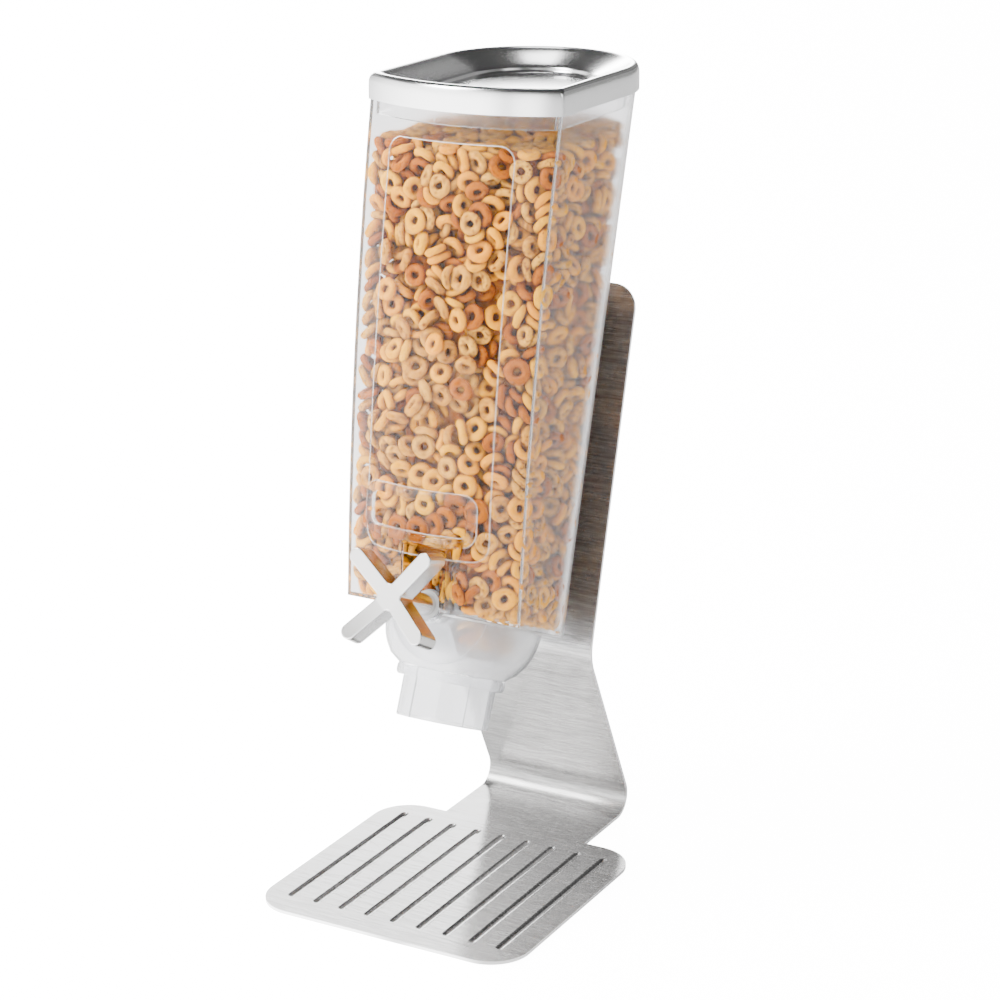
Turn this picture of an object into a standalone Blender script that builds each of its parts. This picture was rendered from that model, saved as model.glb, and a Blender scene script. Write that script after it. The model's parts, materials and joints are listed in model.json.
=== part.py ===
"""Counter-top cereal dispenser: a bent sheet stand, a hanging hopper with a lift-off lid, and a
hand-turned portion wheel above a tilted spout.

+X is to the dispenser's left-right width, +Y points to its back, +Z is up, and it stands on Z = 0.
Sizes are in metres. The stand's strip, the hopper's mouth and the portioning mechanism each lean
back by their own angle, so each has its own frame.
"""
import math

import bmesh
import bpy
from mathutils import Matrix, Vector

GAP = 0.0003
# How far cutting solids reach past the faces that they cut
CUT = 0.010
BORE_CUT = 0.0035

# Stand: one sheet, cut, pressed and bent
SHEET = 0.002
PAD_HEIGHT = 0.0015
PAD_RADIUS = 0.007
PAD_INSET_X = 0.020
NECK_PAD_INSET_X = 0.010
PAD_ROWS_Y = {"front": -0.1030, "middle": 0.0250, "back": 0.0770}
PLATE_TOP = PAD_HEIGHT + SHEET
PLATE_WIDTH = 0.170
PLATE_DEPTH = 0.1634
PLATE_MIDDLE_Y = -0.0390
PLATE_CORNER = 0.024
STRIP_WIDTH = 0.0963
STRIP_CORNER = 0.015
GROOVE_COUNT = 9
GROOVE_PITCH = 0.01712
GROOVE_WIDTH = 0.0037
GROOVE_DEPTH = 0.0010
GROOVE_FRONT_Y = -0.1030
GROOVE_BACK_Y = 0.0292
HEEL_BEND = (0.1056, PLATE_TOP)
KNEE_BEND = (0.0466, 0.1203)
STRIP_TOP = (0.1033, 0.3353)
NECK_FLAT_END = 0.0706
NECK_PATH_START = 0.0756
HEEL_RADIUS = 0.011
KNEE_RADIUS = 0.027

# Hanger bracket, in the strip's frame: y = 0 is the strip's front face, z = 0 its top edge
BRACKET_WIDTH = 0.044
BRACKET_SHEET = 0.002
BRACKET_BOTTOM = -0.072
BRACKET_JOG = (-0.050, -0.041)
BRACKET_TOP = -0.014
TONGUE_STANDOFF = 0.0062
SCREW_Z = -0.062
SCREW_X = 0.013
SCREW_RADIUS = 0.0024
SCREW_HOLE_RADIUS = 0.0028
SCREW_HEAD = (0.0045, 0.0026)
SCREW_SLOT = 0.0012
NUT_ACROSS_CORNERS = 0.0092
NUT_HEIGHT = 0.0038
SOCKET_WIDTH = 0.056
SOCKET_Z = (-0.039, -0.007)
SOCKET_BACK = -0.003
SOCKET_REACH = 0.026
SLOT_PLAY = 0.0005
BUMPER_Z = -0.175
BUMPER_RADIUS = 0.008
BUMPER_REACH = 0.024

# Hopper: its plan is a D with a bowed front and a half-round back; the front also bulges in height
HOPPER_WALL = 0.0025
LEVEL_LOW = 0.1757
LEVEL_HIGH = 0.4542
HOPPER_HALF_WIDTH = (0.0560, 0.0600)
HOPPER_CORNER_Y = (-0.0550, -0.0155)
HOPPER_BACK_Y = (0.0472, 0.1192)
HOPPER_FRONT_BOW = 0.1165
HOPPER_BULGE = 0.0050
BULGE_ROUNDS = 6
HOPPER_RING_HEIGHTS = (0.225, 0.265, 0.305, 0.345, 0.385, 0.425)
HOPPER_CORNER = 0.0020
HOPPER_TOP = 0.4620

# Lid
LID_BOTTOM = 0.4540
LID_SHEET = 0.0007
LID_OVERHANG = 0.0011
LID_CORNER = 0.0030
LID_CORNER_GROWTH = 0.45
# Inset and height of the lid's sheet, from its sunk floor out to the bottom of its band
LID_SECTION = (
    (0.0275, 0.4560), (0.0252, 0.4563), (0.0241, 0.4574), (0.0233, 0.4594), (0.0218, 0.4605),
    (0.0085, 0.4665), (0.0060, 0.4681), (0.0038, 0.4688), (0.0018, 0.4681), (0.0005, 0.4661),
    (0.0000, 0.4635), (0.0000, LID_BOTTOM),
)
PLUG_INSET = 0.0016
PLUG_WALL = 0.0018
PLUG_BOTTOM = 0.4460
PLUG_TOP = 0.4640
GASKET_BOTTOM = 0.4540
GASKET_TOP = 0.4580

# Portioning mechanism, in its own tilted frame: y runs along the shaft, towards the back
MECHANISM_TILT = math.radians(23.5)
SHAFT_AT_WALL = Vector((0.0, -0.0690, 0.1849))
FLOOR_BOTTOM = -0.0028
FLOOR_TOP = -0.0003
SHAFT_RADIUS = 0.0040
SHAFT_CHAMFER = 0.0005
SHAFT_START = -0.0270
SHAFT_END = 0.0985
RUNNING_BORE = 0.0041
BOSS_RADIUS = 0.0092
BUSHING_RADIUS = 0.0066
FRONT_BOSS = (0.0100, 0.0250)
REAR_BOSS = (0.0867, 0.0960)
BUSHING_FLANGE = (0.0082, 0.0011)
NOTCH_HALF_WIDTH = 0.0120
NOTCH_TOP = 0.0310
NOTCH_WALL = 0.0022
WHEEL = (0.0290, 0.0830)
WHEEL_RADIUS = 0.0285
CORE_RADIUS = 0.0070
SLEEVE_RADIUS = 0.0100
VANE_COUNT = 6
VANE_THICKNESS = 0.0018
WASHER_THICKNESS = 0.0009
CLIP_RADIUS = 0.0058
CHAMBER_MARGIN = 0.0016
CHAMBER_RADIUS = 0.0296
CHAMBER_WALL = 0.0015
# The outlet's half width, start and end along the shaft
CHAMBER_EXIT = (0.0190, 0.0330, 0.0770)
SHAFT_WAY_PLAY = 0.0008
SEAL_HEIGHT = 0.0012
HOUSING_WALL = 0.0022
# Each funnel ring: height, half width, half depth, middle along the shaft
HOUSING_TOP_RING = (0.0420, 0.0447, 0.0580)
FUNNEL_RINGS = (
    (-0.0120, 0.0412, 0.0440, 0.0577),
    (-0.0220, 0.0390, 0.0415, 0.0566),
    (-0.0300, 0.0338, 0.0365, 0.0550),
)
SPOUT_MIDDLE = 0.0545
COLLAR_RADIUS = 0.0315
COLLAR_TOP = -0.0345
COLLAR_BOTTOM = -0.0410
COLLAR_BORE = 0.0279
SPOUT_RADIUS = 0.0273
SPOUT_WALL = 0.0018
SPOUT_TOP = -0.0360
SPOUT_BOTTOM = -0.0642

# Knob
KNOB_FRONT = -0.0359
KNOB_DEPTH = 0.0150
KNOB_TURN = math.radians(50.3)
KNOB_ARM_HALF = 0.0045
KNOB_TIP = 0.0295
KNOB_FILLET = 0.0025
KNOB_SWEEP = math.radians(8.3)
KNOB_HUB_RADIUS = 0.0062
KNOB_HUB_END = 0.0083
KNOB_BORE_START = -0.0275
SET_SCREW_Y = -0.0080
SET_SCREW_RADIUS = 0.0017

STRIP_LEAN = math.atan2(STRIP_TOP[0] - KNEE_BEND[0], STRIP_TOP[1] - KNEE_BEND[1])
WORLD = Matrix.Identity(4)
STRIP = Matrix.Translation((0.0, *STRIP_TOP)) @ Matrix.Rotation(-STRIP_LEAN, 4, "X")
MECHANISM = Matrix.Translation(SHAFT_AT_WALL) @ Matrix.Rotation(-MECHANISM_TILT, 4, "X")


def clear_scene():
    for leftover in list(bpy.data.objects):
        bpy.data.objects.remove(leftover)


def finish(name, colour, roughness, metallic=0.0, transmission=0.0):
    material = bpy.data.materials.new(name)
    material.use_nodes = True
    shader = material.node_tree.nodes["Principled BSDF"]
    shader.inputs["Base Color"].default_value = (*colour, 1.0)
    shader.inputs["Roughness"].default_value = roughness
    shader.inputs["Metallic"].default_value = metallic
    shader.inputs["Transmission Weight"].default_value = transmission
    return material


def add_object(name, solid, material=None, frame=WORLD):
    """Turn a bmesh into an object placed by its frame."""
    bmesh.ops.recalc_face_normals(solid, faces=solid.faces)
    mesh = bpy.data.meshes.new(name)
    solid.to_mesh(mesh)
    solid.free()
    if material:
        mesh.materials.append(material)
    item = bpy.data.objects.new(name, mesh)
    bpy.context.scene.collection.objects.link(item)
    item.matrix_world = frame
    return item


def combine(item, others, operation):
    """Cut the others from the item, or join them to it, and drop them."""
    for other in others:
        modifier = item.modifiers.new(operation.lower(), "BOOLEAN")
        modifier.operation = operation
        modifier.object = other
    bpy.context.view_layer.update()
    evaluated = item.evaluated_get(bpy.context.evaluated_depsgraph_get())
    result = bpy.data.meshes.new_from_object(evaluated)
    item.modifiers.clear()
    item.data = result
    for other in others:
        bpy.data.objects.remove(other)
    return item


def smooth(item, angle=math.radians(35)):
    item.data.shade_smooth()
    item.data.set_sharp_from_angle(angle=angle)
    return item


def loft(rings, loop=False):
    """Skin through rings of equal length; a loop joins the last ring to the first."""
    solid = bmesh.new()
    rows = [[solid.verts.new(point) for point in ring] for ring in rings]
    following = rows[1:] + (rows[:1] if loop else [])
    for row, other in zip(rows, following):
        for index in range(len(row)):
            after = (index + 1) % len(row)
            solid.faces.new((row[index], row[after], other[after], other[index]))
    if not loop:
        solid.faces.new(rows[0])
        solid.faces.new(rows[-1])
    return solid


def box(low, high):
    corners = [[(x, y, z) for x, y in ((low[0], low[1]), (high[0], low[1]),
                                       (high[0], high[1]), (low[0], high[1]))]
               for z in (low[2], high[2])]
    return loft(corners)


def circle(radius, along, segments, axis="Y", middle=(0.0, 0.0)):
    """A ring of points around the Y or the Z axis, at a distance along it."""
    points = []
    for index in range(segments):
        angle = math.tau * index / segments
        across = middle[0] + radius * math.cos(angle)
        other = middle[1] + radius * math.sin(angle)
        points.append((across, along, other) if axis == "Y" else (across, other, along))
    return points


def turned(profile, segments=24, axis="Y", middle=(0.0, 0.0), hollow=False):
    """A solid of revolution from (radius, distance along the axis) pairs."""
    rings = [circle(radius, along, segments, axis, middle) for radius, along in profile]
    return loft(rings, loop=hollow)


def tube(outer, inner, start, end, segments=24, axis="Y", middle=(0.0, 0.0)):
    profile = [(outer, start), (outer, end), (inner, end), (inner, start)]
    return turned(profile, segments, axis, middle, hollow=True)


def arc(centre, radius, start, end, segments):
    """Points on an arc in a plane, both ends included."""
    return [Vector((centre[0] + radius * math.cos(start + (end - start) * step / segments),
                    centre[1] + radius * math.sin(start + (end - start) * step / segments)))
            for step in range(segments + 1)]


def bent_path(points, radii, segments=6):
    """Follow corners rounded by radii; gives (point, normal to its right) pairs."""
    corners = [Vector(point) for point in points]
    runs = [(b - a).normalized() for a, b in zip(corners, corners[1:])]
    path = [(corners[0], Vector((runs[0].y, -runs[0].x)))]
    for corner, radius, run, turn in zip(corners[1:-1], radii, runs, runs[1:]):
        angle = run.angle_signed(turn)
        side = math.copysign(1.0, angle)
        setback = radius * math.tan(abs(angle) / 2)
        begin = corner - run * setback
        for step in range(segments + 1):
            part = -angle * step / segments
            heading = Matrix.Rotation(part, 2) @ run
            normal = Vector((heading.y, -heading.x))
            centre = begin + side * radius * Vector((run.y, -run.x))
            path.append((centre - side * radius * normal, normal))
    path.append((corners[-1], Vector((runs[-1].y, -runs[-1].x))))
    return path


def sheet_rings(path, half_width, thickness):
    """Four-point rings of a bent sheet's cross-section, along its path in the YZ plane."""
    rings = []
    for point, normal in path:
        back = point + normal * thickness
        rings.append([(-half_width, *point), (half_width, *point),
                      (half_width, *back), (-half_width, *back)])
    return rings


def rounded_rectangle(half_x, low_y, high_y, radius, segments=6):
    points = []
    for quarter, (side_x, y) in enumerate(((1, high_y), (-1, high_y), (-1, low_y), (1, low_y))):
        centre = (side_x * (half_x - radius), y - math.copysign(radius, y - (low_y + high_y) / 2))
        points += arc(centre, radius, quarter * math.pi / 2, (quarter + 1) * math.pi / 2, segments)
    return points


def d_outline(half_width, corner_y, back_y, bow, corner, front_segments=5, back_segments=9):
    """A D: bowed front, small corners, straight sides, half-round back; starts at the front."""
    bow_y = corner_y + math.sqrt(bow ** 2 - half_width ** 2)
    corner_x = half_width - corner
    corner_middle_y = bow_y - math.sqrt((bow - corner) ** 2 - corner_x ** 2)
    lean = math.atan2(corner_middle_y - bow_y, corner_x)
    right = arc((0.0, bow_y), bow, -math.pi / 2, lean, front_segments)
    right += arc((corner_x, corner_middle_y), corner, lean, 0.0, 2)[1:]
    right += arc((0.0, back_y - half_width), half_width, 0.0, math.pi / 2, back_segments)
    left = [Vector((-point.x, point.y)) for point in right[-2:0:-1]]
    return right + left


def hopper_outline(level, inset):
    """The hopper's D at one of its two driving levels, moved inwards by inset."""
    half_width = HOPPER_HALF_WIDTH[level]
    bow_y = HOPPER_CORNER_Y[level] + math.sqrt(HOPPER_FRONT_BOW ** 2 - half_width ** 2)
    inner_bow = HOPPER_FRONT_BOW - inset
    inner_half = half_width - inset
    corner_y = bow_y - math.sqrt(inner_bow ** 2 - inner_half ** 2)
    return d_outline(inner_half, corner_y, HOPPER_BACK_Y[level] - inset, inner_bow,
                     max(HOPPER_CORNER - inset, 0.0005))


def hopper_ring(inset, point, normal):
    """Where the hopper's wall, moved inwards by inset, meets a plane."""
    ring = []
    round_y = HOPPER_BACK_Y[0] - HOPPER_HALF_WIDTH[0]
    for low, high in zip(hopper_outline(0, inset), hopper_outline(1, inset)):
        start = Vector((*low, LEVEL_LOW))
        run = Vector((*high, LEVEL_HIGH)) - start
        share = (round_y - low.y) / (round_y - HOPPER_CORNER_Y[0])
        bulge = HOPPER_BULGE * min(max(share, 0.0), 1.0)
        part = (point - start).dot(normal) / run.dot(normal)
        for _ in range(BULGE_ROUNDS):
            forward = Vector((0.0, -4 * bulge * part * (1 - part), 0.0))
            part = (point - start - forward).dot(normal) / run.dot(normal)
        ring.append(start + run * part + forward)
    return ring


def level_ring(inset, height):
    return hopper_ring(inset, Vector((0.0, 0.0, height)), Vector((0.0, 0.0, 1.0)))


def floor_ring(inset, height):
    """The hopper's wall at a height in the mechanism's frame."""
    normal = MECHANISM.to_3x3() @ Vector((0.0, 0.0, 1.0))
    return hopper_ring(inset, MECHANISM @ Vector((0.0, 0.0, height)), normal)


def hopper_loft(inset, floor, top):
    rings = [level_ring(inset, height) for height in HOPPER_RING_HEIGHTS]
    return loft([floor_ring(inset, floor), *rings, level_ring(inset, top)])


# Stand

def stand_outline():
    """Plan of the base plate and its neck, from the neck's right end round to its left end."""
    half = STRIP_WIDTH / 2
    back = PLATE_MIDDLE_Y + PLATE_DEPTH / 2
    front = PLATE_MIDDLE_Y - PLATE_DEPTH / 2
    plate = rounded_rectangle(PLATE_WIDTH / 2, front, back, PLATE_CORNER)
    quarter = len(plate) // 4
    right_back, rest = plate[:quarter], plate[quarter:]
    return ([Vector((half, NECK_FLAT_END)), Vector((-half, NECK_FLAT_END)), Vector((-half, back))]
            + rest + right_back + [Vector((half, back))])


def groove_cutters():
    """One capsule for each pressed groove."""
    radius = (GROOVE_WIDTH ** 2 / 4 + GROOVE_DEPTH ** 2) / (2 * GROOVE_DEPTH)
    height = PLATE_TOP - GROOVE_DEPTH + radius
    cutters = []
    for index in range(GROOVE_COUNT):
        middle = ((index - (GROOVE_COUNT - 1) / 2) * GROOVE_PITCH, height)
        reach = radius - GROOVE_WIDTH / 2
        profile = []
        for end, side in ((GROOVE_FRONT_Y - reach + radius, -1), (GROOVE_BACK_Y + reach - radius, 1)):
            steps = [math.radians(a) for a in (8, 35, 62, 90)]
            dome = [(radius * math.sin(a), end + side * radius * math.cos(a)) for a in steps]
            profile += dome if side < 0 else dome[::-1]
        cutters.append(add_object("groove", turned(profile, 16, middle=middle)))
    return cutters


def make_stand_sheet(steel):
    outline = stand_outline()
    plate = loft([[(p.x, p.y, z) for p in outline] for z in (PLATE_TOP, PAD_HEIGHT)])
    neck_face = min(plate.faces, key=lambda face: -face.calc_center_median().y)
    ends = {(v.co.x > 0, v.co.z > (PLATE_TOP + PAD_HEIGHT) / 2): v for v in neck_face.verts}
    plate.faces.remove(neck_face)
    row = [ends[False, True], ends[True, True], ends[True, False], ends[False, False]]
    path = bent_path([(NECK_PATH_START, PLATE_TOP), HEEL_BEND, KNEE_BEND, STRIP_TOP],
                     [HEEL_RADIUS, KNEE_RADIUS])
    for ring in sheet_rings(path, STRIP_WIDTH / 2, SHEET):
        following = [plate.verts.new(point) for point in ring]
        for index in range(4):
            after = (index + 1) % 4
            plate.faces.new((row[index], row[after], following[after], following[index]))
        row = following
    plate.faces.new(row)
    top_corners = [edge for edge in plate.edges
                   if all(vertex.co.z > STRIP_TOP[1] - 2 * SHEET for vertex in edge.verts)
                   and abs(edge.verts[0].co.x - edge.verts[1].co.x) < GAP]
    bmesh.ops.bevel(plate, geom=top_corners, offset=STRIP_CORNER, segments=6, profile=0.5,
                    affect="EDGES")
    stand = add_object("stand_sheet", plate, steel)
    combine(stand, groove_cutters() + screw_hole_cutters(), "DIFFERENCE")
    return smooth(stand)


def screw_hole_cutters():
    return [add_object("screw_hole",
                       turned([(SCREW_HOLE_RADIUS, -CUT), (SCREW_HOLE_RADIUS, CUT)], 16,
                              middle=(side * SCREW_X, SCREW_Z)), frame=STRIP)
            for side in (-1, 1)]


def make_foot_pads(rubber):
    top = PAD_HEIGHT - GAP
    profile = [(PAD_RADIUS - 0.0004, 0.0), (PAD_RADIUS, 0.0004), (PAD_RADIUS, top)]
    for row, y in PAD_ROWS_Y.items():
        x = STRIP_WIDTH / 2 - NECK_PAD_INSET_X if row == "back" else PLATE_WIDTH / 2 - PAD_INSET_X
        for hand, side in (("left", -1), ("right", 1)):
            pad = turned(profile, 20, "Z", (side * x, y))
            smooth(add_object("foot_pad_" + row + "_" + hand, pad, rubber))


def make_hanger_bracket(steel):
    back = -GAP - BRACKET_SHEET
    tongue = back - TONGUE_STANDOFF
    path = bent_path([(back, BRACKET_BOTTOM), (back, BRACKET_JOG[0]), (tongue, BRACKET_JOG[1]),
                      (tongue, BRACKET_TOP)], [0.003, 0.003], 3)
    bracket = add_object("hanger_bracket",
                         loft(sheet_rings(path, BRACKET_WIDTH / 2, BRACKET_SHEET)), steel, STRIP)
    combine(bracket, screw_hole_cutters(), "DIFFERENCE")
    return smooth(bracket)


def make_bracket_fasteners(steel):
    head_radius, head_height = SCREW_HEAD
    under_head = -2 * GAP - BRACKET_SHEET
    nut_start = SHEET + GAP
    for name, side in (("left", -1), ("right", 1)):
        middle = (side * SCREW_X, SCREW_Z)
        profile = [(head_radius * 0.75, under_head - head_height),
                   (head_radius, under_head - head_height * 0.6), (head_radius, under_head),
                   (SCREW_RADIUS, under_head), (SCREW_RADIUS, nut_start + NUT_HEIGHT + 0.0015)]
        screw = add_object("bracket_screw_" + name, turned(profile, 20, middle=middle), steel, STRIP)
        slot = box((middle[0] - SCREW_SLOT / 2, under_head - 2 * head_height, middle[1] - head_radius),
                   (middle[0] + SCREW_SLOT / 2, under_head - head_height * 0.6,
                    middle[1] + head_radius))
        smooth(combine(screw, [add_object("slot", slot, frame=STRIP)], "DIFFERENCE"))
        hexagon = turned([(NUT_ACROSS_CORNERS / 2, nut_start),
                          (NUT_ACROSS_CORNERS / 2, nut_start + NUT_HEIGHT)], 6, middle=middle)
        nut = add_object("bracket_nut_" + name, hexagon, steel, STRIP)
        bore = turned([(SCREW_RADIUS + GAP, -CUT), (SCREW_RADIUS + GAP, 2 * CUT)], 18, middle=middle)
        smooth(combine(nut, [add_object("bore", bore, frame=STRIP)], "DIFFERENCE"))


def hopper_clearance():
    """The space that the hopper takes, a little larger than its outside."""
    return add_object("hopper_space", hopper_loft(-GAP, FLOOR_BOTTOM - CUT, HOPPER_TOP + CUT))


def make_rear_bumper(rubber):
    profile = [(BUMPER_RADIUS, -GAP), (BUMPER_RADIUS, -BUMPER_REACH)]
    bumper = add_object("rear_bumper", turned(profile, 20, middle=(0.0, BUMPER_Z)), rubber, STRIP)
    return smooth(combine(bumper, [hopper_clearance()], "DIFFERENCE"))


# Hopper

def make_hopper(clear):
    """The clear hopper: walls, tilted floor with the wheel's opening, and two shaft bosses."""
    hopper = add_object("hopper", hopper_loft(0.0, FLOOR_BOTTOM, HOPPER_TOP), clear)
    inside = add_object("inside", hopper_loft(HOPPER_WALL, FLOOR_TOP, HOPPER_TOP + CUT))
    liner_reach = NOTCH_HALF_WIDTH + NOTCH_WALL
    liner = box((-liner_reach, -3 * CUT, -CUT),
                (liner_reach, FRONT_BOSS[0] + NOTCH_WALL, NOTCH_TOP + NOTCH_WALL))
    liner = add_object("liner", liner, frame=MECHANISM)
    bosses = [add_object("boss", turned([(BOSS_RADIUS, start), (BOSS_RADIUS, end)], 32),
                         frame=MECHANISM) for start, end in (FRONT_BOSS, REAR_BOSS)]
    spare_bosses = [item.copy() for item in bosses]
    for item in spare_bosses:
        bpy.context.scene.collection.objects.link(item)
    combine(inside, [liner] + spare_bosses, "DIFFERENCE")
    combine(hopper, bosses, "UNION")
    notch = add_object("notch", box((-NOTCH_HALF_WIDTH, -4 * CUT, -2 * CUT),
                                    (NOTCH_HALF_WIDTH, FRONT_BOSS[0], NOTCH_TOP)), frame=MECHANISM)
    opening = box((-CHAMBER_RADIUS, WHEEL[0] - CHAMBER_MARGIN, FLOOR_BOTTOM - BORE_CUT),
                  (CHAMBER_RADIUS, WHEEL[1] + CHAMBER_MARGIN, FLOOR_TOP + BORE_CUT))
    opening = add_object("opening", opening, frame=MECHANISM)
    bores = [add_object("bore", turned([(BUSHING_RADIUS + GAP, start - BORE_CUT),
                                        (BUSHING_RADIUS + GAP, end + BORE_CUT)], 32),
                        frame=MECHANISM)
             for start, end in (FRONT_BOSS, REAR_BOSS)]
    combine(hopper, [inside, notch, opening] + bores, "DIFFERENCE")
    return smooth(hopper)


def make_rear_socket(clear):
    """Moulded block bonded to the hopper's back; its slot drops over the bracket's tongue."""
    half = SOCKET_WIDTH / 2
    block = add_object("rear_socket", box((-half, -SOCKET_REACH, SOCKET_Z[0]),
                                          (half, SOCKET_BACK, SOCKET_Z[1])), clear, STRIP)
    tongue_front = -GAP - TONGUE_STANDOFF - BRACKET_SHEET
    tongue_back = tongue_front + BRACKET_SHEET
    slot_half = BRACKET_WIDTH / 2 + SLOT_PLAY
    slot = box((-slot_half, tongue_front - SLOT_PLAY, SOCKET_Z[0] - CUT),
               (slot_half, tongue_back + SLOT_PLAY, BRACKET_TOP + GAP))
    slot = add_object("slot", slot, frame=STRIP)
    return smooth(combine(block, [hopper_clearance(), slot], "DIFFERENCE"))


def make_bushings(nylon):
    flange_radius, flange = BUSHING_FLANGE
    start, end = FRONT_BOSS[0] - GAP, FRONT_BOSS[1]
    profile = [(flange_radius, start - flange), (flange_radius, start), (BUSHING_RADIUS, start),
               (BUSHING_RADIUS, end), (RUNNING_BORE, end), (RUNNING_BORE, start - flange)]
    smooth(add_object("front_bushing", turned(profile, 32, hollow=True), nylon, MECHANISM))
    rear = tube(BUSHING_RADIUS, RUNNING_BORE, *REAR_BOSS, 32)
    smooth(add_object("rear_bushing", rear, nylon, MECHANISM))


def superellipse(half_width, half_depth, middle, height, power=2.6, segments=32):
    """A rounded outline in the mechanism's frame, between an ellipse and a rectangle."""
    points = []
    for index in range(segments):
        angle = math.tau * index / segments
        c, s = math.cos(angle), math.sin(angle)
        scale = (abs(c) ** power + abs(s) ** power) ** (-1 / power)
        points.append((half_width * scale * c, middle + half_depth * scale * s, height))
    return points


def boss_space():
    reach = BOSS_RADIUS + GAP
    return add_object("boss_space", turned([(reach, -CUT), (reach, FRONT_BOSS[1] + GAP)], 32),
                      frame=MECHANISM)


def make_housing(milky):
    """The funnel below the hopper, from its rim down to the spout's collar."""
    seal_bottom = FLOOR_BOTTOM - GAP - SEAL_HEIGHT
    outer = [(seal_bottom - GAP, *HOUSING_TOP_RING), *FUNNEL_RINGS]
    rings = [superellipse(width, depth, middle, height) for height, width, depth, middle in outer]
    ends = [(COLLAR_RADIUS, COLLAR_TOP), (COLLAR_RADIUS, COLLAR_BOTTOM),
            (COLLAR_BORE, COLLAR_BOTTOM), (COLLAR_BORE, COLLAR_TOP - 0.001)]
    rings += [circle(radius, height, 32, "Z", (0.0, SPOUT_MIDDLE)) for radius, height in ends]
    rings += [superellipse(width - HOUSING_WALL, depth - HOUSING_WALL, middle, height)
              for height, width, depth, middle in outer[::-1]]
    housing = add_object("funnel_housing", loft(rings, loop=True), milky, MECHANISM)
    return smooth(combine(housing, [boss_space()], "DIFFERENCE"))


def make_housing_seal(silicone):
    top = FLOOR_BOTTOM - GAP
    width, depth, middle = HOUSING_TOP_RING
    rings = [superellipse(width - inset, depth - inset, middle, height)
             for inset, height in ((0.0, top), (0.0, top - SEAL_HEIGHT),
                                   (HOUSING_WALL, top - SEAL_HEIGHT), (HOUSING_WALL, top))]
    seal = add_object("housing_seal", loft(rings, loop=True), silicone, MECHANISM)
    return smooth(combine(seal, [boss_space()], "DIFFERENCE"))


def make_chamber(milky):
    """The trough that closes the wheel's pockets from below, open over the spout."""
    outer = CHAMBER_RADIUS + CHAMBER_WALL
    low, high = WHEEL[0] - CHAMBER_MARGIN, WHEEL[1] + CHAMBER_MARGIN
    body = turned([(outer, low - CHAMBER_WALL), (outer, high + CHAMBER_WALL)], 48)
    chamber = add_object("wheel_chamber", body, milky, MECHANISM)
    sweep = add_object("sweep", turned([(CHAMBER_RADIUS, low), (CHAMBER_RADIUS, high)], 48),
                       frame=MECHANISM)
    top = FLOOR_BOTTOM - GAP
    above = add_object("above", box((-outer - CUT, -CUT, top), (outer + CUT, high + CUT, outer + CUT)),
                       frame=MECHANISM)
    exit_half, exit_front, exit_back = CHAMBER_EXIT
    outlet = add_object("outlet", box((-exit_half, exit_front, -outer - CUT),
                                      (exit_half, exit_back, -CUT)), frame=MECHANISM)
    way = SHAFT_RADIUS + SHAFT_WAY_PLAY
    shaft_way = add_object("shaft_way", turned([(way, low - CUT), (way, high + CUT)], 24),
                           frame=MECHANISM)
    return smooth(combine(chamber, [sweep, above, outlet, shaft_way], "DIFFERENCE"))


def make_spout(milky):
    spout = tube(SPOUT_RADIUS, SPOUT_RADIUS - SPOUT_WALL, SPOUT_BOTTOM, SPOUT_TOP, 32, "Z",
                 (0.0, SPOUT_MIDDLE))
    return smooth(add_object("spout_insert", spout, milky, MECHANISM))


# Rotor

def make_shaft(steel):
    profile = [(SHAFT_RADIUS - SHAFT_CHAMFER, SHAFT_START), (SHAFT_RADIUS, SHAFT_START + SHAFT_CHAMFER),
               (SHAFT_RADIUS, SHAFT_END - SHAFT_CHAMFER), (SHAFT_RADIUS - SHAFT_CHAMFER, SHAFT_END)]
    return smooth(add_object("shaft", turned(profile), steel, MECHANISM))


def make_wheel(core_plastic, silicone):
    """A plastic core on the shaft and a one-piece silicone sleeve with its vanes."""
    core = tube(CORE_RADIUS, SHAFT_RADIUS + GAP, WHEEL[0], WHEEL[1])
    smooth(add_object("wheel_core", core, core_plastic, MECHANISM))
    half = VANE_THICKNESS / 2
    root = math.asin(half / SLEEVE_RADIUS)
    pitch = math.tau / VANE_COUNT
    outline = []
    for vane in range(VANE_COUNT):
        angle = vane * pitch
        turn = Matrix.Rotation(angle, 2)
        tip_length = WHEEL_RADIUS - half
        tip = arc((tip_length, 0.0), half, -math.pi / 2, math.pi / 2, 2)
        outline += [turn @ point for point in tip]
        outline += arc((0.0, 0.0), SLEEVE_RADIUS, angle + root, angle + pitch - root, 3)
    rings = [[(p.x, y, p.y) for p in outline] for y in WHEEL]
    wheel = add_object("portion_wheel", loft(rings), silicone, MECHANISM)
    reach = CORE_RADIUS + GAP
    bore = add_object("bore", turned([(reach, WHEEL[0] - CUT), (reach, WHEEL[1] + CUT)]),
                      frame=MECHANISM)
    return smooth(combine(wheel, [bore], "DIFFERENCE"))


def make_spacers_and_clip(nylon, steel):
    """Two washers beside the wheel and the ring that keeps the shaft from sliding out."""
    for name, start in (("front", WHEEL[0] - GAP - WASHER_THICKNESS), ("rear", WHEEL[1] + GAP)):
        washer = tube(CORE_RADIUS, SHAFT_RADIUS + GAP, start, start + WASHER_THICKNESS)
        smooth(add_object("wheel_washer_" + name, washer, nylon, MECHANISM))
    start = REAR_BOSS[1] + 2 * GAP
    clip = tube(CLIP_RADIUS, SHAFT_RADIUS + GAP, start, start + WASHER_THICKNESS)
    return smooth(add_object("shaft_clip", clip, steel, MECHANISM))


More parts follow.
